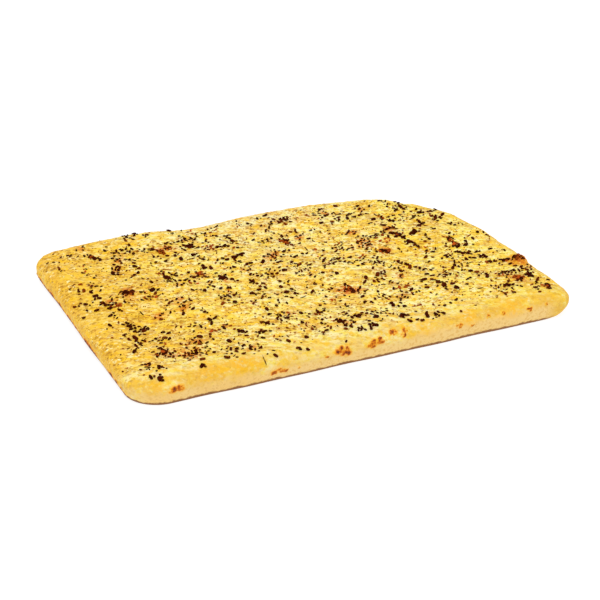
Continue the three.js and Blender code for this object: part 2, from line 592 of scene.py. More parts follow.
STREWN_PATCHES = (
    Patch(167, -54, 7, 1.2),
    Patch(-142, 119, 32, -0.8),
    Patch(100, 108, 32, -0.7),
    Patch(83, 48, 17, -0.7),
    Patch(-122, -24, 28, -0.75),
    Patch(-36, -46, 20, -0.6),
    Patch(-118, 48, 24, 0.7),
    Patch(-178, 12, 16, 1.2),
    Patch(36, -48, 16, 0.6),
    Patch(-58, -95, 18, 0.5),
    Patch(136, -24, 22, 0.8),
    Patch(-70, -22, 30, -0.4),
    Patch(-36, -72, 16, -0.6),
    Patch(-83, -71, 14, -0.5),
    Patch(24, -92, 16, -0.5),
)
PALE_PATCHES = (
    Patch(-14, 118, 32, 0.5),
    Patch(34, 118, 32, 0.55),
    Patch(-166, -106, 32, 0.5),
    Patch(118, -4, 32, -0.45),
    Patch(-180, 60, 30, -0.7),
)
RED_PATCHES = (
    Patch(177, -60, 9, 0.95),
    Patch(24, -49, 8, 0.7),
)
GLOW_PATCHES = (
    Patch(-168, -125, 11, 0.6),
    Patch(-131, -124, 8, 0.8),
    Patch(-118, -127, 6, 0.6),
    Patch(-105, -125, 6, 1.3),
    Patch(-93, -125, 7, 0.7),
    Patch(52, -126, 9, 0.7),
    Patch(91, -125, 7, 1.2),
    Patch(129, -126, 12, 0.9),
)


def patched(patches: tuple[Patch, ...], x: np.ndarray, y: np.ndarray) -> np.ndarray:
    """What a set of patches gives or takes at each place, all together."""
    return sum(
        patch.gain * np.exp(-((x - patch.x) ** 2 + (y - patch.y) ** 2) / patch.reach**2)
        for patch in patches
    )


class Room:
    """The places that flecks have taken, so that each new one lies clear of them."""

    CELL = 5.0

    def __init__(self, closeness: float) -> None:
        """Starts with all the room free: two flecks lie at least that share of their mean size apart."""
        self.closeness = closeness
        self.cells: dict[tuple[int, int], list[Fleck]] = {}

    def take(self, fleck: Fleck) -> None:
        """Takes a fleck's place."""
        self.cells.setdefault((int(fleck.x // self.CELL), int(fleck.y // self.CELL)), []).append(fleck)

    def is_free(self, fleck: Fleck) -> bool:
        """Looks for the room that a fleck needs.

        Args:
            fleck: The fleck.

        Returns:
            Whether it would lie clear of all that have their places.
        """
        column, row = int(fleck.x // self.CELL), int(fleck.y // self.CELL)
        around = ((column + aside, row + ahead) for aside in (-1, 0, 1) for ahead in (-1, 0, 1))
        near = (other for cell in around for other in self.cells.get(cell, ()))
        share = self.closeness / 2
        return all(
            math.hypot(fleck.x - other.x, fleck.y - other.y) >= share * (fleck.long + other.long)
            for other in near
        )


@dataclass(frozen=True)
class Sprinkling:
    """Where the rosemary fell: the rule that the solid's clots follow, and what lies between them."""

    form: SlabForm
    seed: int = 2417
    clot_count: int = 205
    least_clot: float = 3.4
    extra_clot: float = 7.0
    clot_rarity: int = 3
    least_breadth: float = 0.45
    extra_breadth: float = 0.35
    bare_near: float = 12.0
    bare_far: float = 5.0
    bare_left: float = 10.0
    bare_right: float = 5.0
    margin_fade: float = 18.0
    drift_span_x: float = 143.0
    drift_phase_x: float = 0.8
    drift_span_y: float = 97.0
    drift_phase_y: float = 2.2
    drift_mean: float = 0.75
    drift_depth: float = 0.25
    fleck_area: float = 4.4
    closeness: float = 0.95
    clot_spread: float = 1.9
    landmark_spread: float = 1.35
    landmark_coarseness: float = 1.2
    nest_count: int = 680
    nest_size: int = 4
    nest_margin: float = 7.0
    nest_margin_left: float = 2.0
    nest_fade: float = 14.0
    near_lean: float = 0.2
    thickest: float = 2.4
    golden_turn: float = 2.4
    clot_slack: Range = (0.8, 1.15)
    turn_slack: Range = (-0.5, 0.5)
    clot_long: Range = (1.9, 3.3)
    clot_broad: Range = (0.55, 0.9)
    clot_high: Range = (0.32, 0.54)
    clot_heap: float = 0.09
    clot_red: float = 0.6
    stray_red: float = 0.8
    stray_rarity: int = 9
    plain_tone: float = 0.35
    red_tone: float = 0.6
    tilt: Range = (-0.5, 0.5)
    trail_bend: Range = (-0.4, 0.4)
    trail_gap: Range = (2.0, 5.0)
    trail_spread: Range = (0.4, 6.0)
    trail_rarity: float = 1.5
    trail_red_rarity: int = 4
    least_trail_long: float = 1.7
    extra_trail_long: float = 3.0
    trail_broad: Range = (0.5, 0.9)
    trail_high: Range = (0.34, 0.56)
    trail_tone: float = 0.5
    dull_length: float = 2.3
    needle_count: int = 30
    needle_long: Range = (3.5, 7)
    needle_broad: Range = (0.7, 1.1)
    needle_high: Range = (0.7, 1.0)
    needle_tilt: Range = (-0.15, 0.15)
    needle_red_rarity: int = 3

    def likelihood(self, x: np.ndarray, y: np.ndarray) -> np.ndarray:
        """Works out where the rosemary lies thick.

        Args:
            x: Places along the square slab.
            y: Places across it.

        Returns:
            How likely a clot is to lie at each place, from 0 to 1.
        """
        half_length, half_width = self.form.half_length, self.form.half_width
        room = np.minimum(
            np.minimum(y + half_width - self.bare_near, half_width - y - self.bare_far),
            np.minimum(x + half_length - self.bare_left, half_length - x - self.bare_right),
        )
        along_x = np.sin(2 * math.pi * x / self.drift_span_x + self.drift_phase_x)
        along_y = np.sin(2 * math.pi * y / self.drift_span_y + self.drift_phase_y)
        thickening = self.drift_mean + self.drift_depth * along_x * along_y
        return thickening * np.clip(room / self.margin_fade, 0, 1)

    def strewing(self, x: np.ndarray, y: np.ndarray) -> np.ndarray:
        """Works out where the strewn flecks lie thick, nearly up to the rim.

        Args:
            x: Places along the square slab.
            y: Places across it.

        Returns:
            How likely a strewn fleck is to lie at each place, from 0 to 1.
        """
        room = np.minimum(self.form.half_width - np.abs(y), self.form.half_length - x) - self.nest_margin
        room = np.minimum(room, self.form.half_length + x - self.nest_margin_left)
        lean = 1 - self.near_lean * y / self.form.half_width
        patchy = 1 + patched(STREWN_PATCHES, x, y)
        return np.clip(room / self.nest_fade, 0, 1) * lean * patchy / self.thickest

    def anywhere(self, draws: Draws) -> tuple[float, float]:
        """Draws a place on the square slab, each as likely."""
        return (draws.draw() - 0.5) * self.form.length, (draws.draw() - 0.5) * self.form.width

    def somewhere(self, draws: Draws) -> tuple[float, float]:
        """Draws places until one is taken, the likelier ones more often.

        Args:
            draws: The numbers to draw from.

        Returns:
            The place, along and across.
        """
        while True:
            x, y = self.anywhere(draws)
            if draws.draw() < self.strewing(x, y):
                return x, y

    def clots(self) -> list[Clot]:
        """Finds the clots that the solid has.

        Returns:
            The clots, in the same order.
        """
        draws = Draws(self.seed)
        found = [clot.turned() for clot in LANDMARK_CLOTS]
        while len(found) < self.clot_count:
            x, y = self.anywhere(draws)
            chance = draws.draw()
            long = self.least_clot + self.extra_clot * draws.draw() ** self.clot_rarity
            broad = long * (self.least_breadth + self.extra_breadth * draws.draw())
            turn = draws.draw() * math.pi
            if chance < self.likelihood(x, y):
                found.append(Clot(x, y, long, broad, turn))
        return found

    def clot_flecks(self, room: Room) -> list[Fleck]:
        """Breaks each clot up into flecks that spiral out from its middle.

        Args:
            room: The room on the crust.

        Returns:
            The flecks of all the clots.
        """
        draws = Draws(self.seed + 2)
        flecks = []
        loose = [clot.turned() for clot in LOOSE_CLOTS]
        for index, clot in enumerate(self.clots() + loose):
            landmark = index < len(LANDMARK_CLOTS) or index >= self.clot_count
            spread = self.landmark_spread if landmark else self.clot_spread
            coarseness = self.landmark_coarseness if landmark else 1
            thinned = 1 if landmark else min(1, 1 + patched(STREWN_PATCHES, clot.x, clot.y))
            count = round(1 + thinned * clot.long * clot.broad / self.fleck_area)
            redness = self.clot_red * clot.red or self.stray_red * draws.draw() ** self.stray_rarity
            for place in range(count):
                out = spread * math.sqrt((place + 0.5) / count) * draws.between(*self.clot_slack)
                around = place * self.golden_turn + draws.between(*self.turn_slack)
                along = out * clot.long / 2 * math.cos(around)
                across = out * clot.broad / 2 * math.sin(around)
                long = coarseness * draws.between(*self.clot_long)
                heap = max(0, 1 - out) * self.clot_heap * clot.long
                fleck = Fleck(
                    x=clot.x + along * math.cos(clot.turn) - across * math.sin(clot.turn),
                    y=clot.y + along * math.sin(clot.turn) + across * math.cos(clot.turn),
                    long=long,
                    broad=long * draws.between(*self.clot_broad),
                    high=long * draws.between(*self.clot_high) + heap,
                    turn=draws.draw() * math.pi,
                    tilt=draws.between(*self.tilt),
                    tone=self.plain_tone * draws.draw() ** 2 + self.red_tone * (draws.draw() < redness),
                )
                if landmark or place == 0 or room.is_free(fleck):
                    room.take(fleck)
                    flecks.append(fleck)
        return flecks

    def trail_flecks(self, room: Room) -> list[Fleck]:
        """Strews flecks between the clots, singly, in bent trails and in loose nests.

        Args:
            room: The room that the clots have left.

        Returns:
            The flecks.
        """
        draws = Draws(self.seed + 3)
        flecks = []
        for _ in range(self.nest_count):
            x, y = self.somewhere(draws)
            heading = draws.draw() * 2 * math.pi
            bend = draws.between(*self.trail_bend)
            gap = draws.between(*self.trail_gap)
            spread = draws.between(*self.trail_spread)
            redness = draws.draw() ** self.trail_red_rarity
            for _ in range(1 + int(self.nest_size * draws.draw() ** self.trail_rarity)):
                long = self.least_trail_long + self.extra_trail_long * draws.draw() ** 2
                dulled = min(1, self.dull_length / long)
                fleck = Fleck(
                    x=x + spread * draws.between(-1, 1),
                    y=y + spread * draws.between(-1, 1),
                    long=long,
                    broad=long * draws.between(*self.trail_broad),
                    high=long * draws.between(*self.trail_high),
                    turn=draws.draw() * math.pi,
                    tilt=draws.between(*self.tilt),
                    tone=(self.trail_tone * draws.draw() ** 2 + redness * draws.draw()) * dulled,
                )
                x += gap * math.cos(heading)
                y += gap * math.sin(heading)
                heading += bend
                if self.strewing(fleck.x, fleck.y) > 0 and room.is_free(fleck):
                    room.take(fleck)
                    flecks.append(fleck)
        return flecks

    def needles(self) -> list[Fleck]:
        """Strews the few whole needles, one of which stands on the near shoulder.

        Returns:
            The needles, as flecks.
        """
        draws = Draws(self.seed + 4)
        flecks = [UPRIGHT_NEEDLE]
        while len(flecks) < self.needle_count:
            x, y = self.somewhere(draws)
            flecks.append(Fleck(
                x=x,
                y=y,
                long=draws.between(*self.needle_long),
                broad=draws.between(*self.needle_broad),
                high=draws.between(*self.needle_high),
                turn=draws.draw() * math.pi,
                tilt=draws.between(*self.needle_tilt),
                tone=draws.draw() ** self.needle_red_rarity,
            ))
        return flecks


class Blister(NamedTuple):
    """A browned blister on a side: the side, its place along it, its height and its breadth."""

    side: Side
    along: float
    height: float
    breadth: float


NEAR_BLISTERS = (
    Blister(Side.NEAR, -157, 13.5, 8.5),
    Blister(Side.NEAR, -76, 8.5, 7),
    Blister(Side.NEAR, -71, 8, 5),
    Blister(Side.NEAR, -59, 8, 2.5),
    Blister(Side.NEAR, -35, 12, 3),
    Blister(Side.NEAR, -20, 13, 9.5),
    Blister(Side.NEAR, 2, 13, 6.5),
    Blister(Side.NEAR, 9, 15.5, 6),
    Blister(Side.NEAR, 23, 18, 5),
    Blister(Side.NEAR, 33, 18, 3.5),
    Blister(Side.NEAR, 31, 15, 3),
    Blister(Side.NEAR, 80, 13, 4.5),
    Blister(Side.NEAR, 92, 11, 2.5),
    Blister(Side.NEAR, 107, 15, 2.5),
    Blister(Side.NEAR, 121, 15, 3.5),
    Blister(Side.NEAR, 145, 14, 4.5),
    Blister(Side.NEAR, 161, 15.5, 2.5),
)


def new_piece(name: str, vertices: np.ndarray, faces: list[tuple[int, ...]]) -> bpy.types.Object:
    """Makes an object at the origin from a mesh in millimetres.

    Args:
        name: The piece's name.
        vertices: Its points, in millimetres.
        faces: The points of each face, in order around it.

    Returns:
        The object, linked to the scene.
    """
    mesh = bpy.data.meshes.new(name)
    mesh.from_pydata((vertices * MM).tolist(), [], faces)
    mesh.update()
    piece = bpy.data.objects.new(name, mesh)
    bpy.context.collection.objects.link(piece)
    return piece


def note(piece: bpy.types.Object, name: str, values: np.ndarray) -> None:
    """Writes one number for each point of a piece as an attribute."""
    layer = piece.data.attributes.new(name, "FLOAT", "POINT")
    layer.data.foreach_set("value", np.asarray(values, dtype=np.float32))


def new_tree(name: str, inputs: dict[str, str]) -> tuple[Sketch, dict[str, Socket]]:
    """Starts a Geometry Nodes tree with named inputs.

    Args:
        name: The tree's name.
        inputs: The kind of each input after the geometry, by name.

    Returns:
        A sketch of the tree, and its inputs by name.
    """
    tree = bpy.data.node_groups.new(name, "GeometryNodeTree")
    tree.interface.new_socket("Geometry", in_out="INPUT", socket_type="NodeSocketGeometry")
    for label, kind in inputs.items():
        tree.interface.new_socket(label, in_out="INPUT", socket_type=kind)
    tree.interface.new_socket("Geometry", in_out="OUTPUT", socket_type="NodeSocketGeometry")
    start = tree.nodes.new("NodeGroupInput")
    return Sketch(tree), {socket.name: socket for socket in start.outputs if socket.name}


def grow(piece: bpy.types.Object, tree: bpy.types.NodeTree, sizes: dict) -> None:
    """Runs a Geometry Nodes tree on a piece and keeps its result as the piece's plain mesh.

    Args:
        piece: The object that the tree starts from.
        tree: The tree.
        sizes: What goes into its named inputs.
    """
    modifier = piece.modifiers.new(tree.name, "NODES")
    modifier.node_group = tree
    for item in tree.interface.items_tree:
        if item.in_out == "INPUT" and item.name in sizes:
            modifier[item.identifier] = sizes[item.name]
    piece.update_tag()
    bpy.context.view_layer.update()
    shape = piece.evaluated_get(bpy.context.evaluated_depsgraph_get())
    mesh = bpy.data.meshes.new_from_object(shape)
    piece.modifiers.clear()
    piece.data = mesh


def noted(sketch: Sketch, name: str) -> Socket:
    """Reads a number that was noted on the geometry."""
    made = sketch.node("GeometryNodeInputNamedAttribute", {"Name": name}, data_type="FLOAT")
    return made.outputs[0]


@dataclass(frozen=True)
class Relief:
    """The fine relief of the crust, along its normals: how high each kind is, and how far apart."""

    puff: float = 1.0
    puff_span: float = 27.0
    puff_detail: float = 1.0
    ripple: float = 1.3
    ripple_span: float = 9.0
    ripple_detail: float = 1.5
    grain: float = 1.1
    grain_span: float = 3.8
    grain_detail: float = 2.0
    crease: float = 0.45
    crease_span: float = 8.0
    crease_breadth: float = 0.04
    blister: float = 0.9

    def tree(self) -> bpy.types.NodeTree:
        """Builds the tree that raises the relief, with its heights as named inputs.

        Returns:
            The tree.
        """
        names = ["Puff Height", "Ripple Height", "Grain Height", "Crease Depth", "Blister Height"]
        kinds = dict.fromkeys(names, "NodeSocketFloat")
        sketch, given = new_tree("CrustRelief", {**kinds, "Material": "NodeSocketMaterial"})
        where = sketch.node("GeometryNodeInputPosition", {}).outputs[0]
        creases = sketch.creases(where, self.crease_span, self.crease_breadth)
        height = sketch.times(creases, given["Crease Depth"], -1)
        layers = (
            ("Puff Height", self.puff_span, self.puff_detail),
            ("Ripple Height", self.ripple_span, self.ripple_detail),
            ("Grain Height", self.grain_span, self.grain_detail),
        )
        for label, span, detail in layers:
            layer = sketch.times(sketch.sway(where, span, detail), given[label])
            height = sketch.maths("ADD", height, layer)
        height = sketch.times(height, noted(sketch, "loose"))
        blister = sketch.times(noted(sketch, "raised"), given["Blister Height"])
        height = sketch.maths("ADD", height, blister)
        normal = sketch.node("GeometryNodeInputNormal", {}).outputs[0]
        offset = sketch.scaled(normal, height)
        inputs = {"Geometry": given["Geometry"], "Offset": offset}
        moved = sketch.node("GeometryNodeSetPosition", inputs).outputs[0]
        smooth = sketch.node("GeometryNodeSetShadeSmooth", {0: moved}).outputs[0]
        inputs = {"Geometry": smooth, "Material": given["Material"]}
        dressed = sketch.node("GeometryNodeSetMaterial", inputs).outputs[0]
        sketch.node("NodeGroupOutput", {0: dressed})
        return sketch.tree

    def sizes(self, material: bpy.types.Material) -> dict:
        """Gathers what goes into the tree's inputs.

        Args:
            material: The crust's material.

        Returns:
            The heights, in metres, and the material, by the names of the inputs.
        """
        return {
            "Puff Height": self.puff * MM,
            "Ripple Height": self.ripple * MM,
            "Grain Height": self.grain * MM,
            "Crease Depth": self.crease * MM,
            "Blister Height": self.blister * MM,
            "Material": material,
        }


def new_material(name: str) -> tuple[Sketch, bpy.types.Node]:
    """Starts a material.

    Args:
        name: The material's name.

    Returns:
        A sketch of its tree, and its shader.
    """
    material = bpy.data.materials.new(name)
    material.use_nodes = True
    sketch = Sketch(material.node_tree)
    return sketch, material.node_tree.nodes["Principled BSDF"]


def marked(sketch: Sketch, name: str) -> Socket:
    """Reads in a material a number that was noted on the piece."""
    made = sketch.node("ShaderNodeAttribute", {}, attribute_type="GEOMETRY", attribute_name=name)
    return made.outputs["Fac"]


class Stroke(NamedTuple):
    """The fine strokes of one size on the crust: how far apart they lie and how strong they are."""

    span: float
    strength: float


@dataclass(frozen=True)
class CrustFinish:
    """The baked crust: golden and mottled on top with small painted glints among its strokes, creamy on the
    near wall and brown below.
    """

    golden: Colour = paint(245, 210, 60)
    light: Colour = paint(248, 231, 114)
    # pale cream of the crust, and also the colour of the painted glints among the strokes
    cream_and_glint: Colour = paint(248, 236, 168)
    honey: Colour = paint(241, 188, 52)
    vivid: Colour = paint(248, 196, 18)
    dim: Colour = paint(200, 158, 76)
    tan: Colour = paint(219, 159, 54)
    caramel: Colour = paint(216, 124, 22)
    ember: Colour = paint(186, 66, 10)
    speck: Colour = paint(148, 92, 0)
    crease: Colour = paint(188, 124, 14)
    shade: Colour = paint(200, 146, 6)
    wall: Colour = paint(240, 203, 127)
    wall_speck: Colour = paint(228, 184, 102)
    shoulder: Colour = paint(235, 182, 54)
    glow: Colour = paint(242, 178, 24)
    blister: Colour = paint(224, 132, 2)
    scorch: Colour = paint(164, 76, 2)
    burnt: Colour = paint(88, 36, 0)
    base: Colour = paint(140, 92, 46)
    toasted: Colour = paint(178, 116, 58)
    underside: Colour = paint(208, 148, 80)
    floury: Colour = paint(226, 178, 112)
    draw_heading: float = math.radians(-22)
    crease_stretch: float = 2.4
    crease_span: float = 5.0
    crease_breadth: float = 0.03
    least_creased: float = 0.6
    crease_share: float = 0.7
    stroke_stretch: float = 1.7
    stroke_wobble: float = 3.0
    wobble_span: float = 3.0
    stroke_size: float = 0.62
    strokes: tuple[Stroke, ...] = (Stroke(3.2, 0.62), Stroke(1.9, 1.0))
    mottle_span: float = 3.8
    pale_share: float = 0.1
    honey_patches: Patchwork = Patchwork(span=11, detail=3, rough=0.6, start=0.46, full=0.64)
    honey_share: float = 0.66
    corner_fade_x: Range = (-60, -170)
    corner_fade_y: Range = (-120, -80)
    corner_share: float = 0.6
    band_fade: Range = (0.02, 0.25)
    band_patches: Patchwork = Patchwork(span=15, detail=2, rough=0.5, start=0.34, full=0.52)
    band_break: Range = (0.1, 0.6)
    band_share: float = 0.9
    vivid_patches: Patchwork = Patchwork(span=6, detail=3, rough=0.6, start=0.5, full=0.64)
    vivid_share: float = 0.85
    vivid_shift: Triple = (310, 170, 0)
    busy_patches: Patchwork = Patchwork(span=16, detail=2, rough=0.5, start=0.36, full=0.6)
    least_busy: float = 0.65
    extra_busy: float = 0.4
    dim_share: float = 0.28
    break_span: float = 2.2
    halo_break: Range = (0.36, 0.54)
    caramel_fade: Range = (0.05, 0.6)
    ember_fade: Range = (0.55, 1.0)
    rag_span: float = 5.0
    rag_height: float = 1.2
    wall_fade: Range = (0.6, 1.4)
    wall_right: Range = (20, 80)
    wall_right_lift: float = 0.3
    wall_speckle: Range = (0.5, 0.36)
    char_span: float = 2.6
    char_unevenness: float = 2.6
    char_most: float = 2.0
    char_rim: Range = (0.03, 0.3)
    char_rim_share: float = 0.6
    char_fade: Range = (0.25, 0.6)
    glow_break: Range = (0.34, 0.58)
    glow_share: float = 0.8
    foot_rag: float = 0.3
    foot_fade: Range = (1.73, 1.85)
    under_span: float = 14.0
    under_fade: Range = (2.02, 2.2)
    pit_span: float = 5.0
    pit_size: float = 0.5
    pit_share: float = 0.8
    roughness: float = 0.6
    specular: float = 0.2
    bump_span: float = 2.0
    bump_height: float = 0.8
    bump_strength: float = 0.6

    def drawn(self, sketch: Sketch, where: Socket, stretch: float) -> Socket:
        """The place on the crust, drawn out along the way that the dough was pulled."""
        inputs = {"Vector": where, "Rotation": (0, 0, self.draw_heading), "Scale": (stretch, 1, 1)}
        return sketch.node("ShaderNodeMapping", inputs, vector_type="TEXTURE").outputs[0]

    def band(self, sketch: Sketch, where: Socket, broken: Socket) -> Socket:
        """Bakes the shoulder golden in patches.

        Args:
            sketch: The material's tree.
            where: The place on the crust.
            broken: A fine noise that breaks soft edges up.

        Returns:
            How golden each place is.
        """
        low = sketch.rise(marked(sketch, "descent"), *self.band_fade)
        patchy = sketch.patches(where, self.band_patches)
        broken_up = sketch.rise(broken, *self.band_break)
        return sketch.times(low, patchy, broken_up, marked(sketch, "golden"), self.band_share)

    def corner(self, sketch: Sketch, where: Socket) -> Socket:
        """Bakes the left end darker, but for the near corner.

        Args:
            sketch: The material's tree.
            where: The place on the crust.

        Returns:
            How dark each place is.
        """
        place = sketch.node("ShaderNodeSeparateXYZ", {0: where})
        leftward = sketch.fade(place.outputs[0], self.corner_fade_x)
        return sketch.times(leftward, sketch.fade(place.outputs[1], self.corner_fade_y), self.corner_share)

    def top(self, sketch: Sketch, where: Socket, broken: Socket) -> Socket:
        """The colour of the top crust and its shoulder.

        Args:
            sketch: The material's tree.
            where: The place on the crust.
            broken: A fine noise that breaks soft edges up.

        Returns:
            The colour.
        """
        drawn = self.drawn(sketch, where, self.crease_stretch)
        shake = sketch.shake(where, self.wobble_span, detail=3, rough=0.65)
        wobbly = sketch.moved(where, sketch.scaled(shake, self.stroke_wobble * MM))
        strokes = self.drawn(sketch, wobbly, self.stroke_stretch)
        pale = sketch.times(marked(sketch, "pale"), self.pale_share)
        mottle = sketch.maths("ADD", sketch.level(strokes, self.mottle_span, detail=3, rough=0.65), pale)
        colour = sketch.ramp(mottle, {0.4: self.golden, 0.52: self.light, 0.64: self.cream_and_glint})
        patches = sketch.patches(drawn, self.honey_patches)
        colour = sketch.blend(sketch.times(patches, self.honey_share), colour, self.honey)
        colour = sketch.blend(self.corner(sketch, where), colour, self.honey)
        colour = sketch.blend(self.band(sketch, where, broken), colour, self.shoulder)
        elsewhere = sketch.moved(strokes, tuple(way * MM for way in self.vivid_shift))
        vivid = sketch.times(sketch.patches(elsewhere, self.vivid_patches), self.vivid_share)
        colour = sketch.blend(vivid, colour, self.vivid)
        roughened = sketch.times(sketch.patches(elsewhere, self.busy_patches), self.extra_busy)
        busy = sketch.times(marked(sketch, "busy"), sketch.maths("ADD", roughened, self.least_busy))
        # these dots are browned strokes of the crust, but their cream share is painted highlight: small
        # pale glints that stand for an oily sheen
        stroke_and_glint_hues = {0.1: self.speck, 0.5: self.shade, 0.78: self.tan, 0.84: self.cream_and_glint}
        for span, strength in self.strokes:
            dots, own = sketch.dots(strokes, span, self.stroke_size)
            colour = sketch.blend(sketch.times(dots, busy, strength), colour, sketch.ramp(own, stroke_and_glint_hues))
        creases = sketch.creases(drawn, self.crease_span, self.crease_breadth)
        creases = sketch.times(creases, sketch.maths("ADD", patches, self.least_creased), busy)
        colour = sketch.blend(sketch.times(creases, self.crease_share), colour, self.crease)
        return sketch.blend(sketch.times(marked(sketch, "calm"), self.dim_share), colour, self.dim)

    def caramelled(self, sketch: Sketch, broken: Socket, colour: Socket) -> Socket:
        """Caramels the crust round the clots.

        Args:
            sketch: The material's tree.
            broken: A fine noise that breaks soft edges up.
            colour: The colour so far.

        Returns:
            The new colour.
        """
        halo = sketch.times(marked(sketch, "halo"), sketch.rise(broken, *self.halo_break))
        colour = sketch.blend(sketch.rise(halo, *self.caramel_fade), colour, self.caramel)
        return sketch.blend(sketch.rise(halo, *self.ember_fade), colour, self.ember)

    def walled(self, sketch: Sketch, where: Socket, broken: Socket, rag: Socket, colour: Socket) -> Socket:
        """Leaves the near wall pale, up to a ragged line that lies higher on its right half.

        Args:
            sketch: The material's tree.
            where: The place on the crust.
            broken: A fine noise that breaks soft edges up.
            rag: How far the line strays.
            colour: The colour so far.

        Returns:
            The new colour.
        """
        place = sketch.node("ShaderNodeSeparateXYZ", {0: where})
        lift = sketch.times(sketch.fade(place.outputs[0], self.wall_right), self.wall_right_lift)
        descent = sketch.maths("ADD", sketch.maths("ADD", marked(sketch, "descent"), rag), lift)
        low = sketch.times(sketch.rise(descent, *self.wall_fade), marked(sketch, "near"))
        crumb = sketch.blend(sketch.rise(broken, *self.wall_speckle), self.wall, self.wall_speck)
        return sketch.blend(low, colour, crumb)

    def blistered(self, sketch: Sketch, where: Socket, broken: Socket, colour: Socket) -> Socket:
        """Browns the blisters, with a golden rim, and the patches that glow.

        Args:
            sketch: The material's tree.
            where: The place on the crust.
            broken: A fine noise that breaks soft edges up.
            colour: The colour so far.

        Returns:
            The new colour.
        """
        rim = sketch.times(sketch.rise(marked(sketch, "char"), *self.char_rim), self.char_rim_share)
        colour = sketch.blend(rim, colour, self.glow)
        glowing = sketch.times(marked(sketch, "glow"), sketch.rise(broken, *self.glow_break))
        colour = sketch.blend(sketch.times(glowing, self.glow_share), colour, self.glow)
        uneven = sketch.times(sketch.sway(where, self.char_span, rough=0.6), self.char_unevenness)
        char = sketch.times(marked(sketch, "char"), sketch.maths("ADD", uneven, 1))
        browns = {0.25: self.blister, 0.44: self.scorch, 0.62: self.burnt}
        brown = sketch.ramp(sketch.times(char, 1 / self.char_most), browns)
        return sketch.blend(sketch.rise(char, *self.char_fade), colour, brown)

    def footed(self, sketch: Sketch, where: Socket, rag: Socket, colour: Socket) -> Socket:
        """Browns the foot and toasts the underside.

        Args:
            sketch: The material's tree.
            where: The place on the crust.
            rag: How far the foot's line strays.
            colour: The colour so far.

        Returns:
            The new colour.
        """
        foot = sketch.maths("ADD", marked(sketch, "descent"), sketch.times(rag, self.foot_rag))
        baked = sketch.times(sketch.rise(foot, *self.foot_fade), marked(sketch, "heel"))
        colour = sketch.blend(baked, colour, self.base)
        toasts = {0.36: self.toasted, 0.5: self.underside, 0.66: self.floury}
        under = sketch.ramp(sketch.level(where, self.under_span, detail=6, rough=0.68), toasts)
        pits, depth = sketch.dots(where, self.pit_span, self.pit_size)
        under = sketch.blend(sketch.times(pits, depth, self.pit_share), under, self.base)
        return sketch.blend(sketch.rise(marked(sketch, "descent"), *self.under_fade), colour, under)

    def material(self) -> bpy.types.Material:
        """Mixes the finish.

        Returns:
            The finished material.
        """
        sketch, shader = new_material("baked_crust")
        where = sketch.node("ShaderNodeTexCoord", {}).outputs["Object"]
        broken = sketch.level(where, self.break_span, rough=0.6)
        rag = sketch.times(sketch.sway(where, self.rag_span, rough=0.6), self.rag_height)
        colour = self.top(sketch, where, broken)
        colour = self.caramelled(sketch, broken, colour)
        colour = self.walled(sketch, where, broken, rag, colour)
        colour = self.blistered(sketch, where, broken, colour)
        colour = self.footed(sketch, where, rag, colour)
        sketch.put(shader.inputs["Base Color"], colour)
        shader.inputs["Roughness"].default_value = self.roughness
        shader.inputs["Specular IOR Level"].default_value = self.specular
        bump = sketch.node("ShaderNodeBump", {
            "Height": sketch.level(where, self.bump_span, detail=3, rough=0.6),
            "Strength": self.bump_strength,
            "Distance": self.bump_height * MM,
        })
        sketch.put(shader.inputs["Normal"], bump.outputs[0])
        return bpy.data.materials["baked_crust"]


@dataclass(frozen=True)
class RosemaryFinish:
    """Dried rosemary, baked dark: near black, with some of it red-brown."""

    name: str = "baked_rosemary"
    darkest: Colour = paint(54, 12, 1)
    dark: Colour = paint(76, 23, 2)
    rusty: Colour = paint(140, 62, 10)
    red: Colour = paint(198, 88, 26)
    grain_span: float = 1.4
    grain_share: float = 0.5
    roughness: float = 0.8
    specular: float = 0.02
    bump_height: float = 0.3
    bump_strength: float = 0.5

    def material(self) -> bpy.types.Material:
        """Mixes the finish.

        Returns:
            The finished material.
        """
        sketch, shader = new_material(self.name)
        where = sketch.node("ShaderNodeTexCoord", {}).outputs["Object"]
        grain = sketch.sway(where, self.grain_span, rough=0.6)
        tone = sketch.maths("ADD", marked(sketch, "tone"), sketch.times(grain, self.grain_share))
        stops = {0.0: self.darkest, 0.25: self.dark, 0.6: self.rusty, 1.0: self.red}
        sketch.put(shader.inputs["Base Color"], sketch.ramp(tone, stops))
        shader.inputs["Roughness"].default_value = self.roughness
        shader.inputs["Specular IOR Level"].default_value = self.specular
        inputs = {"Height": grain, "Strength": self.bump_strength, "Distance": self.bump_height * MM}
        bump = sketch.node("ShaderNodeBump", inputs)
        sketch.put(shader.inputs["Normal"], bump.outputs[0])
        return bpy.data.materials[self.name]


class Shell:
    """A mesh in the making: its points, their places on the square slab, their descents, its faces.

    The descent is 0 on top, 1 at the widest line, 2 at the foot and 3 underneath.
    """

    def __init__(self) -> None:
        """Starts with no points."""
        self.points: list[np.ndarray] = []
        self.places: list[np.ndarray] = []
        self.descents: list[np.ndarray] = []
        self.faces: list[tuple[int, ...]] = []
        self.count = 0

    def add(self, points: np.ndarray, places: np.ndarray, descent: np.ndarray | float) -> np.ndarray:
        """Adds a set of points.

        Args:
            points: The points.
            places: Their places on the square slab.
            descent: How far down they lie, each or all.

        Returns:
            Their numbers.
        """
        self.points.append(points)
        self.places.append(places)
        self.descents.append(np.broadcast_to(descent, len(points)))
        self.count += len(points)
        return np.arange(self.count - len(points), self.count)


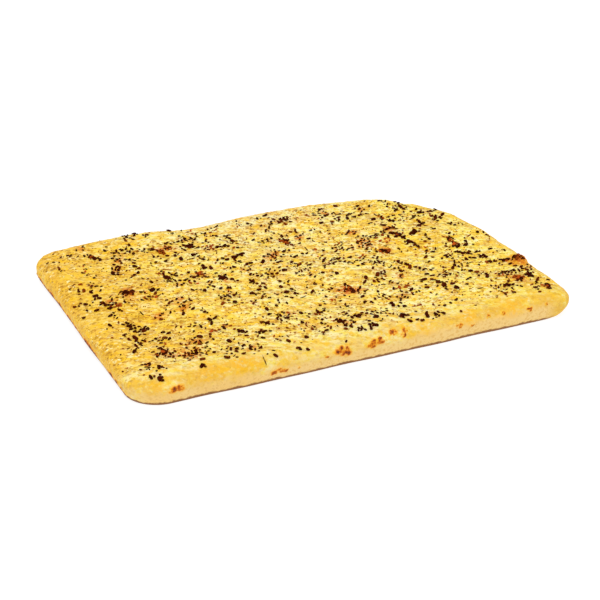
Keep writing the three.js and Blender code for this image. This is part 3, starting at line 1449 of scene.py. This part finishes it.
@dataclass(frozen=True)
class Baking:
    """What the oven did to the slab: where it is pale, caramelled, blistered, charred or dusted."""

    form: SlabForm
    sprinkling: Sprinkling
    loose_descents: tuple[float, ...] = (0, 1, 1.2, 1.8, 1.95, 3)
    loose_shares: tuple[float, ...] = (1, 0.8, 0.4, 0.3, 0, 0)
    bubble_looseness: float = 1.5
    bubble_char: float = 0.7
    raised_fade: Range = (1.3, 1.8)
    blister_seed: int = 311
    hidden_blisters: int = 9
    hidden_along: Range = (-0.85, 0.85)
    hidden_height: Range = (7, 13)
    hidden_breadth: Range = (2.5, 6)
    blister_spots: int = 9
    spot_along: float = 0.6
    spot_up: float = 0.3
    spot_breadth: Range = (0.2, 0.55)
    spot_long_share: float = 0.6
    spot_high_share: float = 0.42
    foot_scorches: int = 80
    scorch_along: Range = (-0.82, 0.9)
    scorch_height: Range = (0, 7)
    scorch_breadth: Range = (2.5, 6.5)
    scorch_strength: float = 1.6
    halo_seed: int = 57
    halo_strength: float = 0.75
    halo_redness: float = 1.1
    halo_clot_share: float = 0.45
    halo_reach: Range = (0.3, 2.2)
    halo_stretch: Range = (1.0, 2.2)
    pale_middle: float = 15.0
    pale_reach: float = 105.0
    pale_middle_share: float = 0.65
    pale_sides_share: float = 0.35
    pale_sides: Range = (60, 110)
    pale_ends: Range = (60, 150)
    near_gain: float = 1.15
    curled_from: Range = (160.0, 172.0)
    curled_heel: Range = (-105, -65)
    calm_to_busy: Range = (-124.0, -98.0)
    calm_busyness: float = 0.3
    wall_busyness: float = 0.45
    busy_fade: Range = (0.3, 1.3)
    cream_middle: float = -5.0
    cream_reach: float = 60.0
    cream_share: float = 0.85
    glow_fade: Range = (0.9, 1.3)
    wall_glow: float = 0.6
    wall_glow_fade: Range = (-60, 40)
    dusted_descent: float = 0.6

    def halo(self, points: np.ndarray) -> np.ndarray:
        """Caramels the crust round each clot.

        Args:
            points: The points, in millimetres.

        Returns:
            How far each point is caramelled, from 0 to 1.
        """
        draws = Draws(self.halo_seed)
        clear = np.ones(len(points))
        for clot in self.sprinkling.clots():
            x, y = self.form.rounded(np.float64(clot.x), np.float64(clot.y))
            strength = max(self.halo_strength * draws.draw() ** 2, self.halo_redness * clot.red)
            spread = self.halo_clot_share * clot.long + draws.between(*self.halo_reach)
            turn = draws.draw() * math.pi
            stretch = draws.between(*self.halo_stretch)
            off_x, off_y = points[:, 0] - x, points[:, 1] - y
            along = (off_x * math.cos(turn) + off_y * math.sin(turn)) / (spread * stretch)
            across = (off_y * math.cos(turn) - off_x * math.sin(turn)) / spread
            clear *= 1 - min(strength, 1) * np.exp(-(along**2 + across**2))
        for patch in RED_PATCHES:
            clear *= 1 - patched((patch,), points[:, 0], points[:, 1])
        return 1 - clear

    def blisters(self) -> list[Blister]:
        """Breaks the blisters up into spots, and adds the hidden ones and the scorched left foot.

        Returns:
            All the spots.
        """
        draws = Draws(self.blister_seed)
        whole = list(NEAR_BLISTERS)
        for side, half in ((Side.FAR, self.form.half_length), (Side.RIGHT, self.form.half_width)):
            for _ in range(self.hidden_blisters):
                along = draws.between(*self.hidden_along) * half
                height = draws.between(*self.hidden_height)
                whole.append(Blister(side, along, height, draws.between(*self.hidden_breadth)))
        found = []
        for side, along, height, breadth in whole:
            for _ in range(self.blister_spots):
                found.append(Blister(
                    side,
                    along + self.spot_along * breadth * draws.between(-1, 1),
                    height + self.spot_up * breadth * draws.between(-1, 1),
                    breadth * draws.between(*self.spot_breadth),
                ))
        for _ in range(self.foot_scorches):
            along = draws.between(*self.scorch_along) * self.form.half_width
            height = draws.between(*self.scorch_height)
            found.append(Blister(Side.LEFT, along, height, draws.between(*self.scorch_breadth)))
        return found

    def paleness(self, points: np.ndarray) -> np.ndarray:
        """Bakes the crust palest in the middle and along the long sides.

        Args:
            points: The points, in millimetres.

        Returns:
            How pale each point is.
        """
        x, y = points[:, 0], points[:, 1]
        middle = np.exp(-(((x - self.pale_middle) / self.pale_reach) ** 2))
        sides = np.interp(np.abs(y), self.pale_sides, [0, 1]) * np.interp(x, self.pale_ends, [1, -1])
        baked = self.pale_middle_share * middle + self.pale_sides_share * sides
        return baked + patched(PALE_PATCHES, x, y)

    def char(self, points: np.ndarray) -> np.ndarray:
        """Blisters and chars the sides.

        Args:
            points: The points, in millimetres.

        Returns:
            How far each point is charred, from 0 to 1.
        """
        x, y, z = points.T
        sides = {
            Side.FAR: (x, y, self.form.half_width),
            Side.RIGHT: (y, x, self.form.half_length),
            Side.NEAR: (x, -y, self.form.half_width),
            Side.LEFT: (y, -x, self.form.half_length),
        }
        charred = np.zeros(len(points))
        for blister in self.blisters():
            along, out, half = sides[blister.side]
            off_along = (along - blister.along) / (self.spot_long_share * blister.breadth)
            off_up = (z - blister.height) / (self.spot_high_share * blister.breadth)
            on_side = out > half - self.form.shoulder_width
            strength = self.scorch_strength if blister.side is Side.LEFT else 1
            spot = strength * on_side * np.exp(-(off_along**2 + off_up**2))
            charred = np.maximum(charred, spot)
        return charred

    def marks(
        self, points: np.ndarray, places: np.ndarray, descent: np.ndarray, nearward: np.ndarray
    ) -> dict[str, np.ndarray]:
        """Works out what is marked on the slab for its relief and its finish.

        Args:
            points: The mesh's points.
            places: Each point's place on the square slab.
            descent: How far down each point lies, as the shell gives it.
            nearward: How far each point faces the near side.

        Returns:
            One number for each point, by the name of the mark.
        """
        x, y = points[:, 0], points[:, 1]
        inside = self.form.bubble.inside(places[:, 0], places[:, 1])
        bubble = np.clip(inside, 0, 1) * (descent < 1)
        char = np.maximum(self.char(points), self.bubble_char * np.sqrt(bubble))
        loose = np.interp(descent, self.loose_descents, self.loose_shares)
        curled = np.interp(x, self.curled_from, [0, 1])
        busy = np.interp(y, self.calm_to_busy, [self.calm_busyness, 1])
        creamy = np.exp(-(((x - self.cream_middle) / self.cream_reach) ** 2)) * (y < 0)
        glow = np.clip(patched(GLOW_PATCHES, x, y), 0, 1)
        wall_glow = np.interp(x, self.wall_glow_fade, [self.wall_glow, 0])
        return {
            "descent": descent,
            "loose": loose + self.bubble_looseness * bubble,
            "near": np.clip(self.near_gain * nearward, 0, 1) * (1 - curled),
            "pale": self.paleness(points),
            "halo": self.halo(points),
            "glow": glow * np.maximum(wall_glow, np.interp(descent, self.glow_fade, [1, 0])),
            "char": char,
            "raised": char * np.interp(descent, self.raised_fade, [1, 0]),
            "calm": 1 - busy,
            "busy": busy * np.interp(descent, self.busy_fade, [1, self.wall_busyness]),
            "golden": 1 - self.cream_share * creamy,
            "heel": 1 - curled * np.interp(y, self.curled_heel, [1, 0]),
            "dusting": self.sprinkling.likelihood(*places.T) * (descent < self.dusted_descent),
        }


@dataclass
class Crust:
    """The slab of bread: its fine mesh, its baking, its relief and its finish."""

    form: SlabForm
    baking: Baking
    relief: Relief = Relief()
    finish: CrustFinish = CrustFinish()
    cell: float = 1.2
    cell_multiple: int = 16
    shoulder_lines: int = 16
    wall_rings: int = 12
    # each ring as a share of the foot, and how many points of the ring before meet in one of its own
    inward_rings: tuple[tuple[float, int], ...] = (
        (0.985, 1), (0.965, 1), (0.94, 2), (0.91, 1), (0.87, 2), (0.82, 1),
        (0.76, 2), (0.68, 1), (0.58, 2), (0.46, 1), (0.3, 2), (0.12, 1),
    )

    def lines(self, half: float) -> np.ndarray:
        """Places the mesh's lines, evenly on the top and by equal angles on the shoulders.

        Args:
            half: Half the size of the slab that way.

        Returns:
            Their places from side to side.
        """
        flat = half - self.form.shoulder_width
        count = self.cell_multiple * round(2 * flat / self.cell / self.cell_multiple)
        even = np.linspace(-flat, flat, count + 1)
        angles = np.linspace(0, math.pi / 2, self.shoulder_lines + 1)[1:]
        shoulder = flat + self.form.shoulder_width * np.sin(angles)
        return np.concatenate([-shoulder[::-1], even, shoulder])

    def rim(self, columns: int, rows: int) -> np.ndarray:
        """Finds the top mesh's outer points.

        Args:
            columns: How many lines of points it has along the slab.
            rows: How many points each line has.

        Returns:
            Their numbers, in order around it and against the clock from above.
        """
        column, row = np.arange(columns), np.arange(rows)
        return np.concatenate([
            column[:-1] * rows,
            (columns - 1) * rows + row[:-1],
            column[:0:-1] * rows + rows - 1,
            row[:0:-1],
        ])

    def wall_ring(self, along: np.ndarray, across: np.ndarray, share: float) -> np.ndarray:
        """Works out one ring of the wall.

        Args:
            along: The rim's places along the square slab.
            across: The rim's places across it.
            share: How far down the wall the ring is, from 0 at the widest line to 1 at the foot.

        Returns:
            The ring's points.
        """
        under = self.form.underside(along, across)
        widest = self.form.widest_line_height
        foot = np.maximum(0, -under / (widest - under))
        up = 1 - share * (1 - foot)
        inset = self.form.heel_inset * (1 - up) ** 2
        x, y = self.form.rounded(along, across)
        x = x * (1 - inset / self.form.half_length)
        y = y * (1 - inset / self.form.half_width)
        return np.stack([x, y, under + (widest - under) * up], axis=1)

    def lay_top(self, shell: Shell) -> np.ndarray:
        """Lays the top crust, down over its shoulder to the widest line.

        Args:
            shell: The slab's mesh in the making.

        Returns:
            The numbers of the outer points, in order around it.
        """
        columns, rows = self.lines(self.form.half_length), self.lines(self.form.half_width)
        along, across = (grid.ravel() for grid in np.meshgrid(columns, rows, indexing="ij"))
        x, y = self.form.rounded(along, across)
        fallen = 1 - np.sqrt(1 - self.form.shoulder_share(along, across) ** 2)
        top = np.stack([x, y, self.form.crust_height(along, across)], axis=1)
        numbers = shell.add(top, np.stack([along, across], axis=1), fallen)
        corner = numbers.reshape(len(columns), len(rows))
        quads = np.stack([corner[:-1, :-1], corner[1:, :-1], corner[1:, 1:], corner[:-1, 1:]], axis=-1)
        shell.faces += [tuple(quad) for quad in quads.reshape(-1, 4).tolist()]
        return self.rim(len(columns), len(rows))

    def lay_wall(self, shell: Shell, rim: np.ndarray) -> np.ndarray:
        """Carries the wall down from the widest line to the foot, ring by ring.

        Args:
            shell: The slab's mesh in the making.
            rim: The numbers of the points around the widest line.

        Returns:
            The numbers of the points around the foot.
        """
        places = shell.places[0][rim]
        ring = rim
        for step in range(1, self.wall_rings + 1):
            share = step / self.wall_rings
            lower = shell.add(self.wall_ring(*places.T, share), places, 1 + share)
            quads = np.stack([lower, np.roll(lower, -1), np.roll(ring, -1), ring], axis=1)
            shell.faces += [tuple(quad) for quad in quads.tolist()]
            ring = lower
        return ring

    def lay_underside(self, shell: Shell, ring: np.ndarray) -> None:
        """Closes the underside by ever smaller rings of ever fewer points.

        Args:
            shell: The slab's mesh in the making.
            ring: The numbers of the points around the foot.
        """
        foot = shell.points[-1]
        thinned = 1
        for share, fewer in self.inward_rings:
            thinned *= fewer
            x, y = foot[::thinned, 0] * share, foot[::thinned, 1] * share
            height = np.maximum(0, self.form.underside(x, y))
            inner = shell.add(np.stack([x, y, height], axis=1), np.stack([x, y], axis=1), 3)
            for place in range(len(inner)):
                outer = [ring[(fewer * (place + 1) - back) % len(ring)] for back in range(fewer + 1)]
                pair = inner[place], inner[(place + 1) % len(inner)]
                shell.faces.append(tuple(int(number) for number in (*outer, *pair)))
            ring = inner
        middle = shell.add(np.zeros((1, 3)), np.zeros((1, 2)), 3)[0]
        fan = zip(np.roll(ring, -1), ring)
        shell.faces += [(int(after), int(before), int(middle)) for after, before in fan]

    def build(self) -> bpy.types.Object:
        """Builds the slab.

        Returns:
            Its finished object.
        """
        shell = Shell()
        rim = self.lay_top(shell)
        self.lay_underside(shell, self.lay_wall(shell, rim))
        points, places = np.concatenate(shell.points), np.concatenate(shell.places)
        descent = np.concatenate(shell.descents)
        piece = new_piece("crust", points, shell.faces)
        normals = np.empty(len(points) * 3, dtype=np.float32)
        piece.data.vertex_normals.foreach_get("vector", normals)
        for name, values in self.baking.marks(points, places, descent, -normals[1::3]).items():
            note(piece, name, values)
        grow(piece, self.relief.tree(), self.relief.sizes(self.finish.material()))
        return piece


class Shape(Enum):
    """The shape of one piece of rosemary."""

    CHIP = "chip"
    NEEDLE = "needle"
    CRUMB = "crumb"


@dataclass
class Rosemary:
    """All the rosemary on the crust: its clots, strewn flecks, needles and dust."""

    crust: bpy.types.Object
    form: SlabForm
    sprinkling: Sprinkling
    finish: RosemaryFinish = RosemaryFinish()
    sunk_share: float = 0.2
    cragginess: float = 1.15
    crag_span: float = 1.2
    landing_reach: float = 100.0
    chip_sides: int = 6
    chip_lengths: int = 3
    chip_wear: float = 1.2
    needle_sides: int = 6
    needle_lengths: int = 8
    needle_bow: float = 0.9
    needle_taper: int = 3
    needle_tip: float = 0.02
    dust_per_square_mm: float = 0.03
    dust_least: float = 0.8
    dust_most: float = 1.5
    dust_seed: int = 19
    dust_shape: Triple = (1.2, 0.8, 0.6)
    dust_tone: Range = (0.15, 0.9)
    dust_turn: Range = (0.0, 6.28)
    dust_crag_share: float = 0.25
    tone_seed: int = 7
    size_seed: int = 8
    turn_seed: int = 9

    def crumb(self, sketch: Sketch) -> Socket:
        """One crumb of herb, one unit long each way."""
        return sketch.node("GeometryNodeMeshIcoSphere", {"Radius": 0.5, "Subdivisions": 1}).outputs[0]

    def chip(self, sketch: Sketch) -> Socket:
        """Shapes one chopped bit of a needle with worn ends.

        Args:
            sketch: The tree.

        Returns:
            Its mesh, one unit long each way.
        """
        inputs = {"Vertices": self.chip_sides, "Side Segments": self.chip_lengths}
        whole = {"Radius": 0.5, "Depth": 1.0}
        bit = sketch.node("GeometryNodeMeshCylinder", {**inputs, **whole}).outputs["Mesh"]
        where = sketch.node("GeometryNodeInputPosition", {}).outputs[0]
        along = sketch.node("ShaderNodeSeparateXYZ", {0: where}).outputs[2]
        off_middle = sketch.maths("POWER", sketch.maths("ABSOLUTE", along), 2)
        worn = sketch.maths("SUBTRACT", 1, sketch.times(off_middle, self.chip_wear))
        waist = sketch.node("ShaderNodeCombineXYZ", {0: worn, 1: worn, 2: 1}).outputs[0]
        inputs = {0: where, 1: waist}
        place = sketch.node("ShaderNodeVectorMath", inputs, operation="MULTIPLY").outputs[0]
        rounded = sketch.node("GeometryNodeSetPosition", {"Geometry": bit, "Position": place}).outputs[0]
        inputs = {"Geometry": rounded, "Rotation": (0, math.pi / 2, 0)}
        return sketch.node("GeometryNodeTransform", inputs).outputs[0]

    def needle(self, sketch: Sketch) -> Socket:
        """Shapes one curved needle with pointed ends.

        Args:
            sketch: The tree.

        Returns:
            Its mesh, one unit long each way.
        """
        ends = {"Start": (-0.5, 0, 0), "Middle": (0, self.needle_bow, 0), "End": (0.5, 0, 0)}
        inputs = {**ends, "Resolution": self.needle_lengths}
        spine = sketch.node("GeometryNodeCurveQuadraticBezier", inputs).outputs[0]
        along = sketch.node("GeometryNodeSplineParameter", {}).outputs["Factor"]
        off_middle = sketch.maths("ABSOLUTE", sketch.maths("SUBTRACT", sketch.times(along, 2), 1))
        taper = sketch.maths("POWER", off_middle, self.needle_taper)
        radius = sketch.maths("SUBTRACT", 1 + self.needle_tip, taper)
        tapered = sketch.node("GeometryNodeSetCurveRadius", {"Curve": spine, "Radius": radius}).outputs[0]
        inputs = {"Resolution": self.needle_sides, "Radius": 0.5}
        section = sketch.node("GeometryNodeCurvePrimitiveCircle", inputs).outputs[0]
        inputs = {"Curve": tapered, "Profile Curve": section, "Scale": radius, "Fill Caps": True}
        return sketch.node("GeometryNodeCurveToMesh", inputs).outputs[0]

    def herb(self, sketch: Sketch, shape: Shape) -> Socket:
        """One piece of herb of a given shape, one unit long each way."""
        return {Shape.CHIP: self.chip, Shape.NEEDLE: self.needle, Shape.CRUMB: self.crumb}[shape](sketch)

    def ground(self, sketch: Sketch, given: dict[str, Socket]) -> Socket:
        """The crust's mesh, which the herb lies on."""
        inputs = {"Object": given["Crust"]}
        return sketch.node("GeometryNodeObjectInfo", inputs, transform_space="RELATIVE").outputs["Geometry"]

    def spun(self, sketch: Sketch, upright: Socket, angles: dict[int, Socket]) -> Socket:
        """Turns pieces that stand upright on the crust.

        Args:
            sketch: The tree.
            upright: How each piece stands.
            angles: How far it turns about its own axes, by their places.

        Returns:
            How each piece lies.
        """
        turns = sketch.node("ShaderNodeCombineXYZ", angles).outputs[0]
        spin = sketch.node("FunctionNodeEulerToRotation", {0: turns}).outputs[0]
        inputs = {0: upright, 1: spin}
        return sketch.node("FunctionNodeRotateRotation", inputs, rotation_space="LOCAL").outputs[0]

    def finish_tree(
        self, sketch: Sketch, given: dict[str, Socket], shape: Shape, lying: dict[str, Socket]
    ) -> None:
        """Ends a tree: lays the pieces, makes them real and craggy and gives them their material.

        Args:
            sketch: The tree.
            given: The tree's inputs.
            shape: The shape of the pieces.
            lying: The points, with each piece's rotation and scale.
        """
        inputs = {**lying, "Instance": self.herb(sketch, shape)}
        flecks = sketch.node("GeometryNodeInstanceOnPoints", inputs).outputs[0]
        real = sketch.node("GeometryNodeRealizeInstances", {"Geometry": flecks}).outputs[0]
        where = sketch.node("GeometryNodeInputPosition", {}).outputs[0]
        crag = sketch.shake(where, self.crag_span, detail=1.5, rough=0.6)
        push = sketch.scaled(crag, given["Cragginess"])
        craggy = sketch.node("GeometryNodeSetPosition", {"Geometry": real, "Offset": push}).outputs[0]
        inputs = {"Geometry": craggy, "Material": given["Material"]}
        dressed = sketch.node("GeometryNodeSetMaterial", inputs).outputs[0]
        sketch.node("NodeGroupOutput", {0: dressed})

    def laid_tree(self, shape: Shape) -> bpy.types.NodeTree:
        """Builds the tree that lets noted points down onto the crust and lays one piece on each.

        Args:
            shape: The shape of the pieces.

        Returns:
            The tree.
        """
        sketch, given = new_tree(f"Laid_{shape.value}", {
            "Crust": "NodeSocketObject",
            "Sunk Share": "NodeSocketFloat",
            "Cragginess": "NodeSocketFloat",
            "Material": "NodeSocketMaterial",
        })
        rays = {"Target Geometry": self.ground(sketch, given), "Ray Length": self.landing_reach * MM}
        landing = sketch.node("GeometryNodeRaycast", rays)
        normal = landing.outputs["Hit Normal"]
        high = noted(sketch, "high")
        lift = sketch.times(high, sketch.maths("SUBTRACT", 0.5, given["Sunk Share"]))
        place = sketch.moved(landing.outputs["Hit Position"], sketch.scaled(normal, lift))
        upright = sketch.node("FunctionNodeAlignRotationToVector", {"Vector": normal}, axis="Z").outputs[0]
        held = sketch.node("GeometryNodeCaptureAttribute", {"Geometry": given["Geometry"]})
        held.capture_items.new("ROTATION", "Upright")
        sketch.put(held.inputs["Upright"], upright)
        inputs = {
            "Geometry": held.outputs["Geometry"],
            "Selection": landing.outputs["Is Hit"],
            "Position": place,
        }
        landed = sketch.node("GeometryNodeSetPosition", inputs).outputs[0]
        angles = {1: noted(sketch, "tilt"), 2: noted(sketch, "turn")}
        sizes = {0: noted(sketch, "long"), 1: noted(sketch, "broad"), 2: high}
        self.finish_tree(sketch, given, shape, {
            "Points": landed,
            "Rotation": self.spun(sketch, held.outputs["Upright"], angles),
            "Scale": sketch.node("ShaderNodeCombineXYZ", sizes).outputs[0],
        })
        return sketch.tree

    def chance(self, sketch: Sketch, least: Value, most: Value, seed: int) -> Socket:
        """A number from least to most that each grain of dust has for itself."""
        inputs = {2: least, 3: most, "Seed": seed}
        return sketch.node("FunctionNodeRandomValue", inputs, data_type="FLOAT").outputs[1]

    def dust_tree(self) -> bpy.types.NodeTree:
        """Builds the tree that strews dust over the crust where rosemary is likely.

        Returns:
            The tree.
        """
        sketch, given = new_tree("Dust", {
            "Crust": "NodeSocketObject",
            "Density": "NodeSocketFloat",
            "Least": "NodeSocketFloat",
            "Most": "NodeSocketFloat",
            "Seed": "NodeSocketInt",
            "Cragginess": "NodeSocketFloat",
            "Material": "NodeSocketMaterial",
        })
        density = sketch.times(given["Density"], noted(sketch, "dusting"))
        inputs = {"Mesh": self.ground(sketch, given), "Density": density, "Seed": given["Seed"]}
        strewn = sketch.node("GeometryNodeDistributePointsOnFaces", inputs)
        tone = self.chance(sketch, *self.dust_tone, self.tone_seed)
        inputs = {"Geometry": strewn.outputs[0], "Name": "tone", "Value": tone}
        toned = sketch.node("GeometryNodeStoreNamedAttribute", inputs, data_type="FLOAT").outputs[0]
        size = self.chance(sketch, given["Least"], given["Most"], self.size_seed)
        turn = self.chance(sketch, *self.dust_turn, self.turn_seed)
        self.finish_tree(sketch, given, Shape.CRUMB, {
            "Points": toned,
            "Rotation": self.spun(sketch, strewn.outputs["Rotation"], {2: turn}),
            "Scale": sketch.scaled(self.dust_shape, size),
        })
        return sketch.tree

    def laid(self, name: str, flecks: list[Fleck], tree: bpy.types.NodeTree) -> bpy.types.Object:
        """Lays flecks on the crust as one piece.

        Args:
            name: The piece's name.
            flecks: The flecks.
            tree: The tree that lays them.

        Returns:
            The finished object.
        """
        table = np.array(flecks)
        x, y = self.form.rounded(table[:, 0], table[:, 1])
        above = np.full(len(table), 2 * self.form.thickness)
        piece = new_piece(name, np.stack([x, y, above], axis=1), [])
        units = {"long": MM, "broad": MM, "high": MM, "turn": 1, "tilt": 1, "tone": 1}
        for label, unit in units.items():
            note(piece, label, np.array([getattr(fleck, label) for fleck in flecks]) * unit)
        grow(piece, tree, {
            "Crust": self.crust,
            "Sunk Share": self.sunk_share,
            "Cragginess": self.cragginess * MM,
            "Material": bpy.data.materials[self.finish.name],
        })
        return piece

    def dust(self) -> bpy.types.Object:
        """Strews the dust as one piece.

        Returns:
            The finished object.
        """
        piece = new_piece("rosemary_dust", np.zeros((1, 3)), [])
        grow(piece, self.dust_tree(), {
            "Crust": self.crust,
            "Density": self.dust_per_square_mm / MM**2,
            "Least": self.dust_least * MM,
            "Most": self.dust_most * MM,
            "Seed": self.dust_seed,
            "Cragginess": self.dust_crag_share * self.cragginess * MM,
            "Material": bpy.data.materials[self.finish.name],
        })
        return piece

    def build(self) -> list[bpy.types.Object]:
        """Builds all the rosemary.

        Returns:
            Its pieces.
        """
        self.finish.material()
        chips = self.laid_tree(Shape.CHIP)
        room = Room(self.sprinkling.closeness)
        return [
            self.laid("rosemary_clots", self.sprinkling.clot_flecks(room), chips),
            self.laid("rosemary_flecks", self.sprinkling.trail_flecks(room), chips),
            self.laid("rosemary_needles", self.sprinkling.needles(), self.laid_tree(Shape.NEEDLE)),
            self.dust(),
        ]


@dataclass
class Studio:
    """The camera of the photo's view, the lights and the pale floor."""

    azimuth: float = math.radians(-24.724)
    elevation: float = math.radians(26.143)
    distance: float = 1341.44
    focal_pixels: float = 1608.0
    image_pixels: float = 600.0
    offset_right: float = 3.3
    offset_down: float = -6.99
    sensor: float = 36.0
    world_strength: float = 0.8
    sun_strength: float = 1.18
    sun_angle: float = math.radians(22)
    sun_from: Triple = (-0.1, -0.2, 0.9)
    floor_size: float = 30000.0
    floor_drop: float = 0.3
    floor_share: float = 0.25
    floor_glow: float = 0.84
    floor_roughness: float = 0.9
    clip_end: float = 100_000.0

    def hang_camera(self) -> None:
        """Makes the camera and looks through it."""
        data = bpy.data.cameras.new("camera")
        data.sensor_width = self.sensor
        data.lens = self.sensor * self.focal_pixels / self.image_pixels
        data.shift_x = self.offset_right / self.image_pixels
        data.shift_y = self.offset_down / self.image_pixels
        data.clip_end = self.clip_end * MM
        camera = bpy.data.objects.new("camera", data)
        bpy.context.collection.objects.link(camera)
        level = math.cos(self.elevation)
        back = Vector((
            math.sin(self.azimuth) * level,
            -math.cos(self.azimuth) * level,
            math.sin(self.elevation),
        ))
        right = Vector((math.cos(self.azimuth), math.sin(self.azimuth), 0))
        turned = Matrix((right, back.cross(right), back)).transposed().to_4x4()
        camera.matrix_world = Matrix.Translation(back * self.distance * MM) @ turned
        bpy.context.scene.camera = camera

    def light(self) -> None:
        """Fills the studio with soft light."""
        world = bpy.data.worlds.new("studio")
        world.use_nodes = True
        background = world.node_tree.nodes["Background"]
        background.inputs["Color"].default_value = (1, 1, 1, 1)
        background.inputs["Strength"].default_value = self.world_strength
        bpy.context.scene.world = world
        sun = bpy.data.lights.new("softbox", "SUN")
        sun.energy = self.sun_strength
        sun.angle = self.sun_angle
        lamp = bpy.data.objects.new("softbox", sun)
        lamp.rotation_euler = Vector(self.sun_from).to_track_quat("Z", "Y").to_euler()
        bpy.context.collection.objects.link(lamp)
        bpy.context.scene.view_settings.view_transform = "Standard"

    def floor(self) -> None:
        """Lays the pale floor."""
        half = self.floor_size / 2
        corners = np.array([(-half, -half, 0), (half, -half, 0), (half, half, 0), (-half, half, 0)])
        corners[:, 2] = -self.floor_drop
        piece = new_piece("floor", corners, [(0, 1, 2, 3)])
        _, shader = new_material("pale_floor")
        shader.inputs["Base Color"].default_value = (self.floor_share,) * 3 + (1,)
        shader.inputs["Roughness"].default_value = self.floor_roughness
        shader.inputs["Emission Color"].default_value = (1, 1, 1, 1)
        shader.inputs["Emission Strength"].default_value = self.floor_glow
        piece.data.materials.append(bpy.data.materials["pale_floor"])


def main() -> None:
    """Builds the studio, the crust and the rosemary."""
    logging.basicConfig(level=logging.INFO, format="%(name)s: %(message)s")
    studio = Studio()
    studio.hang_camera()
    studio.light()
    studio.floor()
    form = SlabForm()
    sprinkling = Sprinkling(form)
    crust = Crust(form, Baking(form, sprinkling)).build()
    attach(crust, BODY)
    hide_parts(NODE)
    log.info("%s has %d faces", crust.name, len(crust.data.polygons))
    for piece in Rosemary(crust, form, sprinkling).build():
        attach(piece, BODY)
        log.info("%s has %d faces", piece.name, len(piece.data.polygons))


if __name__ == "__main__":
    main()
